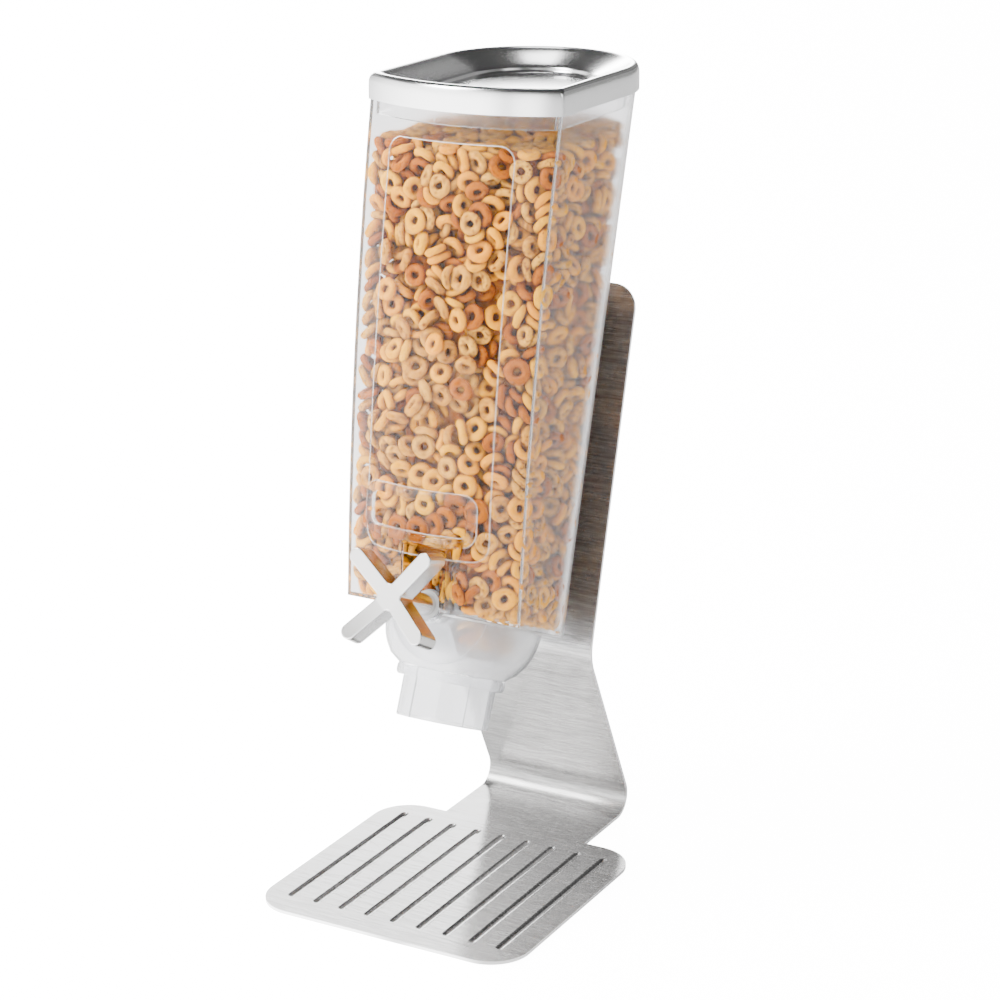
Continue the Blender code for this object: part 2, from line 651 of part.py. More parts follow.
def knob_outline(depth):
    """The cross at a depth behind its front face: (point, is it on an arm) pairs, per arm."""
    half, fillet = KNOB_ARM_HALF, KNOB_FILLET
    root = half + fillet
    groups = []
    for arm in range(4):
        turn = Matrix.Rotation(KNOB_TURN + arm * math.pi / 2, 3, "Y").inverted()
        tip = arc((KNOB_TIP, 0.0), half, -math.pi / 2, math.pi / 2, 8)
        flat = [Vector((root, -half))] + tip + [Vector((root, half))]
        swept = []
        for point in flat:
            reach = point.x - root
            along = root + reach * math.cos(KNOB_SWEEP)
            forward = reach * math.sin(KNOB_SWEEP)
            if reach > 0:
                along += depth * math.sin(KNOB_SWEEP)
            swept.append(turn @ Vector((along, KNOB_FRONT + depth - forward, point.y)))
        middle = (root, root)
        notch = arc(middle, fillet, -math.pi / 2, -math.pi, 4)[1:-1]
        notch = [turn @ Vector((p.x, KNOB_FRONT + depth, p.y)) for p in notch]
        groups.append((swept, notch))
    return groups


def make_knob(metal):
    """A cross handle with four arms swept forward, and the hub that drives the shaft."""
    solid = bmesh.new()
    faces = []
    for depth in (0.0, KNOB_DEPTH):
        arms = [([solid.verts.new(p) for p in swept], [solid.verts.new(p) for p in notch])
                for swept, notch in knob_outline(depth)]
        centre = []
        rim = []
        for swept, notch in arms:
            solid.faces.new(swept)
            centre += [swept[0], swept[-1]] + notch
            rim += swept + notch
        solid.faces.new(centre)
        faces.append(rim)
    front, back = faces
    for index in range(len(front)):
        after = (index + 1) % len(front)
        solid.faces.new((front[index], front[after], back[after], back[index]))
    knob = add_object("knob", solid, metal, MECHANISM)
    hub = turned([(KNOB_HUB_RADIUS, KNOB_FRONT + KNOB_DEPTH / 2), (KNOB_HUB_RADIUS, KNOB_HUB_END)], 32)
    combine(knob, [add_object("hub", hub, frame=MECHANISM)], "UNION")
    reach = SHAFT_RADIUS + GAP
    bore = turned([(reach, KNOB_BORE_START), (reach, KNOB_HUB_END + CUT)])
    screw_way = turned([(SET_SCREW_RADIUS + GAP, -KNOB_HUB_RADIUS - CUT),
                        (SET_SCREW_RADIUS + GAP, 0.0)], 16, "Z", (0.0, SET_SCREW_Y))
    cutters = [add_object("bore", bore, frame=MECHANISM),
               add_object("screw_way", screw_way, frame=MECHANISM)]
    return smooth(combine(knob, cutters, "DIFFERENCE"))


def make_set_screw(steel):
    profile = [(SET_SCREW_RADIUS, -KNOB_HUB_RADIUS + 0.0002), (SET_SCREW_RADIUS, -SHAFT_RADIUS - GAP)]
    screw = turned(profile, 16, "Z", (0.0, SET_SCREW_Y))
    return smooth(add_object("knob_set_screw", screw, steel, MECHANISM))


# Lid

def lid_outline(inset, height):
    """The lid's D moved inwards by inset; it covers the leaning hopper's rim all round."""
    front = level_ring(0.0, LID_BOTTOM)[0].y - LID_OVERHANG
    back = max(point.y for point in level_ring(0.0, HOPPER_TOP)) + LID_OVERHANG
    half_width = HOPPER_HALF_WIDTH[1] + LID_OVERHANG
    bow = HOPPER_FRONT_BOW
    bow_y = front + bow
    inner_bow, inner_half = bow - inset, half_width - inset
    corner_y = bow_y - math.sqrt(inner_bow ** 2 - inner_half ** 2)
    corner = LID_CORNER + inset * LID_CORNER_GROWTH
    return [(p.x, p.y, height) for p in d_outline(inner_half, corner_y, back - inset, inner_bow,
                                                  corner)]


def thickened(section, thickness):
    """Close an open section by coming back along its left-hand side."""
    points = [Vector(point) for point in section]
    back = []
    for index, point in enumerate(points):
        before = points[max(index - 1, 0)]
        after = points[min(index + 1, len(points) - 1)]
        run = (after - before).normalized()
        back.append(point + Vector((-run.y, run.x)) * thickness)
    return points + back[::-1]


def make_lid_shell(steel):
    """Pressed lid: an outer band, a rolled crest, a sloping rim, a ledge and a sunk floor."""
    section = thickened(LID_SECTION, LID_SHEET)
    rings = [lid_outline(inset, height) for inset, height in section]
    return smooth(add_object("lid_shell", loft(rings), steel))


def wall_ring(name, inset, wall, low, high, material):
    """A ring that follows the inside of the hopper's mouth."""
    rings = [level_ring(inset, low), level_ring(inset, high),
             level_ring(inset + wall, high), level_ring(inset + wall, low)]
    return smooth(add_object(name, loft(rings, loop=True), material))


def make_lid_inner(plastic, silicone):
    wall_ring("lid_plug", HOPPER_WALL + PLUG_INSET, PLUG_WALL, PLUG_BOTTOM, PLUG_TOP, plastic)
    gasket_wall = PLUG_INSET - 2 * GAP
    wall_ring("lid_gasket", HOPPER_WALL + GAP, gasket_wall, GASKET_BOTTOM, GASKET_TOP, silicone)


def hang_on_empties():
    """Parent each moving group to an empty on its axis."""
    groups = {
        "hopper_axis": (STRIP, ("hopper", "rear_socket", "front_bushing", "rear_bushing",
                                "funnel_housing", "housing_seal", "wheel_chamber")),
        "lid_axis": (WORLD, ("lid_shell", "lid_plug", "lid_gasket")),
        "wheel_axis": (MECHANISM, ("shaft", "wheel_core", "portion_wheel", "wheel_washer_front",
                                   "wheel_washer_rear", "shaft_clip", "knob", "knob_set_screw")),
        "spout_axis": (MECHANISM, ("spout_insert",)),
    }
    for name, (frame, members) in groups.items():
        empty = bpy.data.objects.new(name, None)
        bpy.context.scene.collection.objects.link(empty)
        empty.matrix_world = frame
        for member in members:
            item = bpy.data.objects[member]
            item.parent = empty
            item.matrix_parent_inverse = frame.inverted()


def main():
    clear_scene()
    brushed = finish("brushed_steel", (0.62, 0.61, 0.60), 0.32, metallic=1.0)
    polished = finish("polished_steel", (0.66, 0.66, 0.66), 0.14, metallic=1.0)
    nickel = finish("brushed_nickel", (0.60, 0.58, 0.56), 0.28, metallic=1.0)
    fastener = finish("fastener_steel", (0.50, 0.50, 0.50), 0.35, metallic=1.0)
    clear = finish("clear_plastic", (0.93, 0.95, 0.98), 0.05, transmission=0.9)
    milky = finish("milky_plastic", (0.90, 0.91, 0.93), 0.35, transmission=0.4)
    nylon = finish("nylon", (0.86, 0.86, 0.84), 0.45)
    silicone = finish("silicone", (0.82, 0.83, 0.84), 0.55)
    rubber = finish("rubber", (0.03, 0.03, 0.03), 0.80)
    make_stand_sheet(brushed)
    make_foot_pads(rubber)
    make_hanger_bracket(fastener)
    make_bracket_fasteners(fastener)
    make_rear_bumper(rubber)
    make_hopper(clear)
    make_rear_socket(clear)
    make_bushings(nylon)
    make_housing(milky)
    make_housing_seal(silicone)
    make_chamber(milky)
    make_spout(milky)
    make_shaft(fastener)
    make_wheel(nylon, silicone)
    make_spacers_and_clip(nylon, fastener)
    make_knob(nickel)
    make_set_screw(fastener)
    make_lid_shell(polished)
    make_lid_inner(nylon, silicone)
    hang_on_empties()


main()
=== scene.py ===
import json
import math

import bmesh
import bpy
import numpy as np
from mathutils import Matrix, Vector, noise


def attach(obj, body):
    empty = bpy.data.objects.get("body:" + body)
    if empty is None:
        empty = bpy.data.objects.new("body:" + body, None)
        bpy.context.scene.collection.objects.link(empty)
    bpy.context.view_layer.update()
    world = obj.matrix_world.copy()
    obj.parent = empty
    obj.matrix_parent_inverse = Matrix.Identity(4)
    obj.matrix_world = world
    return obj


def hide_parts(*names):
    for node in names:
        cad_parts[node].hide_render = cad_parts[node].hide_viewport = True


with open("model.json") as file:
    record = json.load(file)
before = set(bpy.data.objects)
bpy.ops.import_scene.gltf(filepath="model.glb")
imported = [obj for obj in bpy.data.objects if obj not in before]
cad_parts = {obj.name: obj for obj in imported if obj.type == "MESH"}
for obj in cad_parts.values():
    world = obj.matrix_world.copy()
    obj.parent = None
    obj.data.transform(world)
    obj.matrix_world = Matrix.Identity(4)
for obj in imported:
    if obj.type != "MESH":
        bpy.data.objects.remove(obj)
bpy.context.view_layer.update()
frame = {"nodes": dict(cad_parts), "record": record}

# Camera
EYE = (0.72662, -1.29681, 0.70832)
LOOK_DOWN = math.radians(17.99)
LOOK_ACROSS = math.radians(28.81)
LENS = 98.2

# Stand: one sheet, cut, pressed and bent
SHEET = 0.002
PLATE_BOTTOM = 0.0015
PLATE_TOP = PLATE_BOTTOM + SHEET
PLATE_WIDTH = 0.170
PLATE_DEPTH = 0.1634
PLATE_MIDDLE_Y = -0.0390
PLATE_CORNER = 0.024
STRIP_WIDTH = 0.0963
STRIP_CORNER = 0.015
GROOVE_COUNT = 9
GROOVE_PITCH = 0.01712
GROOVE_WIDTH = 0.0050
GROOVE_DEPTH = 0.0013
GROOVE_FRONT_Y = -0.1030
GROOVE_BACK_Y = 0.0292
NECK_FLAT_END = 0.0706
NECK_PATH_START = 0.0756
HEEL_BEND = (0.1056, PLATE_TOP)
KNEE_BEND = (0.0466, 0.1203)
STRIP_TOP = (0.1033, 0.3353)
HEEL_RADIUS = 0.011
KNEE_RADIUS = 0.027
SCREW_PLACES = (-0.013, 0.013)
SCREW_DROP = -0.062
SCREW_HOLE_RADIUS = 0.0028
STRIP_LEAN = math.atan2(STRIP_TOP[0] - KNEE_BEND[0], STRIP_TOP[1] - KNEE_BEND[1])

# Hopper: D-shaped in plan, at two driving levels
WALL = 0.0025
LEVELS = (0.1757, 0.4542)
HALF_WIDTHS = (0.0560, 0.0600)
CORNER_Y = (-0.0550, -0.0155)
BACK_Y = (0.0472, 0.1192)
FRONT_BOW = 0.1165
BULGE = 0.0050
HOPPER_CORNER = 0.0020
HOPPER_TOP = 0.4620
HOPPER_RING_LEVELS = [0.215 + 0.02 * step for step in range(12)]
FRONT_FACE, SIDE_FACE, INNER_FACE, EDGE_FACE = range(4)

# Portioning mechanism, in its tilted frame: y along the shaft to the back
TILT = math.radians(23.5)
SHAFT_AT_WALL = Vector((0.0, -0.0690, 0.1849))
FLOOR_BOTTOM = -0.0028
FLOOR_TOP = -0.0003
BOSS_RADIUS = 0.0092
BUSHING_RADIUS = 0.0069
FRONT_BOSS = (0.0100, 0.0250)
REAR_BOSS = (0.0867, 0.0960)
BORE_REACH = 0.0035
NOTCH_HALF = 0.0120
NOTCH_TOP = 0.0310
NOTCH_WALL = 0.0022
WHEEL_SPAN = (0.0274, 0.0846)
CHAMBER_RADIUS = 0.0296

# Funnel and spout; each ring: height, half width, half depth and middle
FUNNEL_WALL = 0.0022
CLEARANCE = 0.0003
FUNNEL_POWER = 2.6
FUNNEL_SIDES = 72
FUNNEL_RINGS = (
    (-0.0046, 0.0420, 0.0447, 0.0580), (-0.0120, 0.0412, 0.0440, 0.0577),
    (-0.0220, 0.0390, 0.0415, 0.0566), (-0.0300, 0.0338, 0.0365, 0.0550),
)
SPOUT_MIDDLE = 0.0545
COLLAR_RADIUS = 0.0315
COLLAR = (-0.0345, -0.0410)
COLLAR_BORE = 0.0279
SPOUT_RADIUS = 0.0273
SPOUT_WALL = 0.0018
SPOUT = (-0.0360, -0.0642)

# Knob
KNOB_FRONT = -0.0359
KNOB_DEPTH = 0.0150
KNOB_TURN = math.radians(50.3)
KNOB_ARM_HALF = 0.0045
KNOB_TIP = 0.0295
KNOB_FILLET = 0.0025
KNOB_SWEEP = math.radians(8.3)
KNOB_HUB_RADIUS = 0.0062
KNOB_HUB_END = 0.0083
KNOB_BORE_START = -0.0275
KNOB_BORE_RADIUS = 0.0043
SET_SCREW_Y = -0.0080
SET_SCREW_RADIUS = 0.0020

# Lid: inset and height of the sheet, from the sunk floor out to the band's lower edge
LID_BOTTOM = 0.4540
LID_SHEET = 0.0007
LID_OVERHANG = 0.0011
LID_CORNER = 0.0030
LID_CORNER_GROWTH = 0.45
CREST_Z = 0.4675
LID_SECTION = (
    (0.0275, 0.4560), (0.0252, 0.4563), (0.0241, 0.4574), (0.0233, 0.4594), (0.0218, 0.4605),
    (0.0085, 0.4665), (0.0060, 0.4681), (0.0038, 0.4688), (0.0018, 0.4681), (0.0005, 0.4661),
    (0.0000, 0.4635), (0.0000, LID_BOTTOM),
)

# Marks moulded in the front wall
WINDOW_HALF = (0.0390, 0.1130)
WINDOW_MIDDLE = (0.0, 0.3250)
WINDOW_CORNER = 0.0090
LINE_HALF = 0.00024
LINE_RISE = 0.00035
LINE_SINK = 0.0003
HOLDER_HALF = (0.0354, 0.0148)
HOLDER_MIDDLE = (-0.0036, 0.2344)
HOLDER_CORNER = 0.0085
HOLDER_TIGHTENING = 0.8
HOLDER_BAND = 0.0050
HOLDER_RISE = 0.0030

# Clear plastic, and the roughness of its frosted outer faces
PLASTIC_IOR = 1.20
PLASTIC_SPECULAR = 0.08
FROST_FRONT = 0.14
FROST_SIDE = 0.21
FROST_BACK = 0.42
FROST_GRAIN = 0.08

# Studio light. Compass: 0 behind, 0.25 left, 0.5 front, 0.75 right. Height: sine of the elevation
FLOOR_WHITE = 14.0
FLOOR_THROUGH = 1.1
COMPASS_LIGHT = (
    (0.00, 0.35), (0.12, 0.80), (0.22, 0.80), (0.29, 4.00), (0.36, 5.80), (0.48, 5.80),
    (0.515, 1.80), (0.53, 4.50), (0.56, 4.50), (0.58, 0.80), (0.72, 0.30), (0.90, 0.40), (1.00, 0.35),
)
LOW_LIGHT = ((0.0, 0.60), (0.20, 0.85), (0.45, 0.75), (0.58, 0.0))
HIGH_LIGHT = ((0.0, 0.0), (0.40, 0.08), (0.60, 0.10), (1.0, 0.12))
WALL_COMPASS = ((0.05, 0.0), (0.068, 1.0), (0.14, 1.0), (0.20, 0.0))
WALL_LIGHT = ((0.0, 0.15), (0.14, 0.7), (0.24, 1.0), (0.35, 1.0), (0.42, 0.0))
WALL_STRENGTH = 25.0
LAMP_TARGET = (0.0, 0.0, 0.25)
LAMPS = (
    ("key", (-1.1, -1.0, 2.1), (0.8, 0.8), 68), ("fill", (1.7, -0.7, 1.2), (0.9, 0.9), 9),
    ("top", (-0.60, 1.0, 2.0), (0.30, 0.22), 3.5),
)

# Cereal rings: sizes, then name, pale, deep and speckle colours, and the speckles' share
RING_MIDDLE = 0.0045
RING_TUBE = 0.0024
RING_AROUND = 16
RING_ACROSS = 8
RING_VARIANTS = 6
CEREAL_KINDS = (
    ("yellow", (0.90, 0.44, 0.0), (0.82, 0.27, 0.0), (0.30, 0.08, 0.001), 0.32),
    ("tan", (0.80, 0.41, 0.050), (0.62, 0.24, 0.015), (0.18, 0.04, 0.001), 0.40),
    ("brown", (0.50, 0.14, 0.0), (0.32, 0.075, 0.0), (0.08, 0.015, 0.0), 0.36),
    # The core: cereal colours darkened as painted shade, for the depths seen between rings
    ("core", (0.40, 0.13, 0.004), (0.22, 0.06, 0.002), (0.08, 0.02, 0.001), 0.20),
)
CEREAL_SHARES = (0.42, 0.36, 0.22)
# How far the painted shade between close rings reaches
PAINTED_SHADE_REACH = 0.0060

# Packing of the rings: a layer along the walls and the top, filled and settled
SEED = 7
RING_COUNT = 2560
FLOOR_RINGS = 170
RING_LAYER = 0.0230
CEREAL_TOP = 0.4385
HEAP_DROP = 0.004
HEAP_MIDDLE_Y = 0.04
HEAP_HALF = (0.06, 0.08)
CORNER_STEP = 0.0085
CORNER_INSET = (0.0060, 0.0090)
SCATTER_LOW = (-0.058, -0.065, 0.15)
SCATTER_HIGH = (0.058, 0.118, CEREAL_TOP)
FLOOR_BED = ((-0.054, 0.006, 0.004), (0.054, 0.110, 0.020))
FACE_ON = 1.5
BEADS = 8
PACKING_ROUNDS = 170
TIGHTNESS = 0.97
SHOVE = 0.8
CORE_DEPTH = RING_LAYER - 0.006
CORE_LEVELS = [0.205 + 0.0075 * step for step in range(29)]
CORE_LUMPS = 0.003
PORTION_POCKETS = (-0.5, 0.5)
PORTION_ALONG = (0.034, 0.043, 0.052, 0.061, 0.070, 0.078)
PORTION_ROWS = ((0.0165, 0.0), (0.0215, -0.16))

MECHANISM = Matrix.Translation(SHAFT_AT_WALL) @ Matrix.Rotation(-TILT, 4, "X")
STRIP = Matrix.Translation((0.0, *STRIP_TOP)) @ Matrix.Rotation(-STRIP_LEAN, 4, "X")


# Mesh tools

def bridge(solid, row, other):
    """Faces between two closed rows with the same number of vertices."""
    for index in range(len(row)):
        after = (index + 1) % len(row)
        solid.faces.new((row[index], row[after], other[after], other[index]))


def loft(rings, loop=False):
    solid = bmesh.new()
    rows = [[solid.verts.new(point) for point in ring] for ring in rings]
    following = rows[1:] + (rows[:1] if loop else [])
    for row, other in zip(rows, following):
        bridge(solid, row, other)
    if not loop:
        solid.faces.new(rows[0])
        solid.faces.new(rows[-1])
    return solid


def link_object(name, data, materials=()):
    for material in materials:
        data.materials.append(material)
    item = bpy.data.objects.new(name, data)
    bpy.context.scene.collection.objects.link(item)
    return item


def add_object(name, solid, materials=(), place=Matrix.Identity(4), slot=0):
    """A mesh in the row frame, its normals facing out and all its faces in one material slot."""
    bmesh.ops.recalc_face_normals(solid, faces=solid.faces)
    for face in solid.faces:
        face.material_index = slot
    mesh = bpy.data.meshes.new(name)
    solid.to_mesh(mesh)
    solid.free()
    mesh.transform(place)
    return link_object(name, mesh, materials)


def cutter(solid, place=MECHANISM, slot=0):
    return add_object("cutter", solid, place=place, slot=slot)


def apply_modifiers(item):
    bpy.context.view_layer.update()
    evaluated = item.evaluated_get(bpy.context.evaluated_depsgraph_get())
    result = bpy.data.meshes.new_from_object(evaluated)
    item.modifiers.clear()
    item.data = result


def modify(item, kind, **settings):
    modifier = item.modifiers.new(kind.lower(), kind)
    for key, value in settings.items():
        setattr(modifier, key, value)


def combine(item, others, operation):
    for other in others:
        modify(item, "BOOLEAN", operation=operation, object=other)
    apply_modifiers(item)
    for other in others:
        bpy.data.objects.remove(other)


def soften_edges(item, width, segments, angle):
    modify(item, "BEVEL", width=width, segments=segments, limit_method="ANGLE",
           angle_limit=math.radians(angle), use_clamp_overlap=True)
    apply_modifiers(item)


def smooth(item, angle=35, flats=True):
    """Smooth shading; with flats, flat faces stay flat beside rounded edges."""
    item.data.shade_smooth()
    item.data.set_sharp_from_angle(angle=math.radians(angle))
    if flats:
        modify(item, "WEIGHTED_NORMAL", weight=100, keep_sharp=True)
        apply_modifiers(item)
    return item


def place_piece(item, body, replaced=()):
    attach(item, body)
    if replaced:
        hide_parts(*replaced)


def box(low, high):
    plan = ((low[0], low[1]), (high[0], low[1]), (high[0], high[1]), (low[0], high[1]))
    return loft([[(x, y, z) for x, y in plan] for z in (low[2], high[2])])


def circle(radius, along, segments, axis="Y", middle=(0.0, 0.0)):
    points = []
    for index in range(segments):
        angle = math.tau * index / segments
        across = middle[0] + radius * math.cos(angle)
        other = middle[1] + radius * math.sin(angle)
        points.append((across, along, other) if axis == "Y" else (across, other, along))
    return points


def turned(profile, segments=48, axis="Y", middle=(0.0, 0.0)):
    return loft([circle(radius, along, segments, axis, middle) for radius, along in profile])


def rod(radius, span, segments=48, axis="Y", middle=(0.0, 0.0)):
    return turned([(radius, end) for end in span], segments, axis, middle)


def arc(centre, radius, start, end, segments):
    angles = [start + (end - start) * step / segments for step in range(segments + 1)]
    return [Vector((centre[0] + radius * math.cos(a), centre[1] + radius * math.sin(a)))
            for a in angles]


def rounded_rectangle(half_x, low_y, high_y, radius, segments=14):
    points = []
    for quarter, (side_x, y) in enumerate(((1, high_y), (-1, high_y), (-1, low_y), (1, low_y))):
        centre = (side_x * (half_x - radius), y - math.copysign(radius, y - (low_y + high_y) / 2))
        points += arc(centre, radius, quarter * math.pi / 2, (quarter + 1) * math.pi / 2, segments)
    return points


def rounded_off(points):
    """Cut the corners of an open line twice, so that it curves; its ends stay."""
    points = [Vector(point) for point in points]
    for _ in range(2):
        finer = [points[0]]
        for a, b in zip(points, points[1:]):
            finer += [a.lerp(b, 0.25), a.lerp(b, 0.75)]
        points = finer + [points[-1]]
    return points


def bent_path(points, radii, segments=18):
    """Follow corners rounded by radii; gives (point, normal to its right) pairs."""
    corners = [Vector(point) for point in points]
    runs = [(b - a).normalized() for a, b in zip(corners, corners[1:])]
    path = [(corners[0], Vector((runs[0].y, -runs[0].x)))]
    for corner, radius, run, turn in zip(corners[1:-1], radii, runs, runs[1:]):
        angle = run.angle_signed(turn)
        side = math.copysign(1.0, angle)
        begin = corner - run * radius * math.tan(abs(angle) / 2)
        centre = begin + side * radius * Vector((run.y, -run.x))
        for step in range(segments + 1):
            heading = Matrix.Rotation(-angle * step / segments, 2) @ run
            normal = Vector((heading.y, -heading.x))
            path.append((centre - side * radius * normal, normal))
    path.append((corners[-1], Vector((runs[-1].y, -runs[-1].x))))
    return path


def d_outline(half_width, corner_y, back_y, bow, corner, front=16, turn=5, back=30):
    """A D: bowed front, small corners, straight sides, half-round back."""
    bow_y = corner_y + math.sqrt(bow ** 2 - half_width ** 2)
    corner_x = half_width - corner
    corner_middle_y = bow_y - math.sqrt((bow - corner) ** 2 - corner_x ** 2)
    lean = math.atan2(corner_middle_y - bow_y, corner_x)
    right = arc((0.0, bow_y), bow, -math.pi / 2, lean, front)
    right += arc((corner_x, corner_middle_y), corner, lean, 0.0, turn)[1:]
    right += arc((0.0, back_y - half_width), half_width, 0.0, math.pi / 2, back)
    left = [Vector((-point.x, point.y)) for point in right[-2:0:-1]]
    return right + left


def inset_outline(bow_y, half_width, back_y, inset, corner, *steps):
    """A D moved inwards by inset, with its own corner radius."""
    bow, half = FRONT_BOW - inset, half_width - inset
    corner_y = bow_y - math.sqrt(bow ** 2 - half ** 2)
    return d_outline(half, corner_y, back_y - inset, bow, corner, *steps)


def hopper_outline(level, inset):
    bow_y = CORNER_Y[level] + math.sqrt(FRONT_BOW ** 2 - HALF_WIDTHS[level] ** 2)
    return inset_outline(bow_y, HALF_WIDTHS[level], BACK_Y[level], inset,
                         max(HOPPER_CORNER - inset, 0.0005))


def hopper_ring(inset, point, normal):
    """Where the hopper's wall, moved inwards by inset, meets a plane."""
    ring = []
    round_y = BACK_Y[0] - HALF_WIDTHS[0]
    for low, high in zip(hopper_outline(0, inset), hopper_outline(1, inset)):
        start = Vector((*low, LEVELS[0]))
        run = Vector((*high, LEVELS[1])) - start
        bulge = BULGE * min(max((round_y - low.y) / (round_y - CORNER_Y[0]), 0.0), 1.0)
        part = (point - start).dot(normal) / run.dot(normal)
        for _ in range(6):
            forward = Vector((0.0, -4 * bulge * part * (1 - part), 0.0))
            part = (point - start - forward).dot(normal) / run.dot(normal)
        ring.append(start + run * part + forward)
    return ring


def level_ring(inset, height):
    return hopper_ring(inset, Vector((0.0, 0.0, height)), Vector((0.0, 0.0, 1.0)))


def hopper_loft(inset, floor, top):
    up = MECHANISM.to_3x3() @ Vector((0.0, 0.0, 1.0))
    rings = [hopper_ring(inset, MECHANISM @ Vector((0.0, 0.0, floor)), up)]
    rings += [level_ring(inset, height) for height in HOPPER_RING_LEVELS]
    rings.append(level_ring(inset, top))
    return loft(rings)


def hopper_at(z):
    """The outer section at a height: half width, corner, the round back's middle, front bulge."""
    part = (z - LEVELS[0]) / (LEVELS[1] - LEVELS[0])
    half, corner, back = (low + (high - low) * part for low, high in (HALF_WIDTHS, CORNER_Y, BACK_Y))
    return half, corner, back - half, 4 * BULGE * part * (1 - part)


def front_wall_y(x, z):
    """How far forward the hopper's outer front wall is at a place on it."""
    half, corner, _, bulge = hopper_at(z)
    bow_y = corner + math.sqrt(FRONT_BOW ** 2 - half ** 2)
    return bow_y - math.sqrt(FRONT_BOW ** 2 - x ** 2) - bulge


# Shader tools

class Nodes:
    """A node tree, with a short call for each kind of node used here."""

    sockets = {"colour": "Base Color", "roughness": "Roughness", "metallic": "Metallic",
               "transmission": "Transmission Weight", "ior": "IOR", "anisotropic": "Anisotropic",
               "turn": "Anisotropic Rotation", "tangent": "Tangent", "normal": "Normal",
               "specular": "Specular IOR Level", "glow_colour": "Emission Color",
               "glow": "Emission Strength"}

    def __init__(self, name, kind="materials", shader="Principled BSDF"):
        self.owner = getattr(bpy.data, kind).new(name)
        self.owner.use_nodes = True
        self.tree = self.owner.node_tree
        self.shader = self.tree.nodes[shader]

    def feed(self, socket, value):
        """Link a node's output, or set a number, a vector or a colour without its alpha."""
        if isinstance(value, bpy.types.NodeSocket):
            self.tree.links.new(value, socket)
        else:
            socket.default_value = (*value, 1.0) if socket.type == "RGBA" else value

    def new(self, kind, inputs=(), **settings):
        """A node; inputs are (socket, value) pairs."""
        node = self.tree.nodes.new(kind)
        for key, value in settings.items():
            setattr(node, key, value)
        for socket, value in inputs:
            self.feed(node.inputs[socket], value)
        return node

    def set(self, **values):
        for key, value in values.items():
            self.feed(self.shader.inputs[self.sockets[key]], value)

    def place(self, scale=(1, 1, 1)):
        coordinates = self.new("ShaderNodeTexCoord").outputs["Object"]
        mapping = self.new("ShaderNodeMapping", [("Vector", coordinates), ("Scale", scale)])
        return mapping.outputs["Vector"]

    def split(self, vector):
        return self.new("ShaderNodeSeparateXYZ", [(0, vector)]).outputs

    def noise(self, scale, detail=3.0, stretch=(1, 1, 1), roughness=0.5):
        inputs = [("Vector", self.place(stretch)), ("Scale", scale), ("Detail", detail),
                  ("Roughness", roughness)]
        return self.new("ShaderNodeTexNoise", inputs).outputs["Fac"]

    def spread(self, value, low, high, start=0.0, end=1.0, curve="LINEAR"):
        """The value's run from start to end, carried over to low and high."""
        inputs = enumerate((value, start, end, low, high))
        return self.new("ShaderNodeMapRange", inputs, interpolation_type=curve).outputs["Result"]

    def math(self, operation, *values):
        return self.new("ShaderNodeMath", enumerate(values), operation=operation).outputs[0]

    def vector(self, operation, *values):
        return self.new("ShaderNodeVectorMath", enumerate(values), operation=operation).outputs

    def mix(self, factor, first, second):
        inputs = [("Factor", factor), (6, first), (7, second)]
        return self.new("ShaderNodeMix", inputs, data_type="RGBA").outputs[2]

    def ramp(self, value, stops):
        """Levels along a line, as (position, level) pairs."""
        node = self.new("ShaderNodeValToRGB", [(0, value)])
        elements = node.color_ramp.elements
        while len(elements) < len(stops):
            elements.new(0.5)
        for element, (position, level) in zip(elements, stops):
            element.position = position
            element.color = (level, level, level, 1.0)
        return node.outputs[0]

    def bump(self, height, strength, distance):
        inputs = [("Strength", strength), ("Distance", distance), ("Height", height)]
        self.set(normal=self.new("ShaderNodeBump", inputs).outputs["Normal"])

    def let_lamps_through(self, tint):
        """Light reaches what is inside; everything else sees the real shader."""
        shadow = self.new("ShaderNodeLightPath").outputs["Is Shadow Ray"]
        clear = self.new("ShaderNodeBsdfTransparent", [("Color", tint)])
        mixed = self.new("ShaderNodeMixShader",
                         [(0, shadow), (1, self.shader.outputs[0]), (2, clear.outputs[0])])
        self.feed(self.tree.nodes["Material Output"].inputs["Surface"], mixed.outputs[0])


def brushed_steel():
    """Sheet steel brushed across its width: fine short streaks along X."""
    nodes = Nodes("brushed_steel_sheet")
    fine = nodes.noise(1.0, 3.0, (70, 1700, 1700), 0.6)
    streaks = nodes.noise(1.0, 2.0, (28, 520, 520), 0.6)
    blend = nodes.math("MULTIPLY_ADD", streaks, 0.4, nodes.math("MULTIPLY", fine, 0.6))
    sharper = nodes.spread(blend, 0.0, 1.0, 0.36, 0.64)
    along_x = nodes.new("ShaderNodeCombineXYZ", [(0, 1.0)]).outputs[0]
    nodes.set(colour=nodes.mix(sharper, (0.25, 0.247, 0.243), (0.45, 0.446, 0.442)), metallic=1.0,
              roughness=nodes.spread(fine, 0.21, 0.31), anisotropic=0.85, turn=0.25, tangent=along_x)
    nodes.bump(blend, 0.05, 0.0002)
    return nodes.owner


def plain_metal(name, scale, detail, dark, light, roughness, relief=0.0):
    """Metal with faint marks, from dark to light; roughness is a range too."""
    nodes = Nodes(name)
    marks = nodes.noise(scale, detail)
    nodes.set(colour=nodes.mix(marks, dark, light), metallic=1.0,
              roughness=nodes.spread(marks, *roughness))
    if relief:
        nodes.bump(marks, relief, 0.0001)
    return nodes.owner


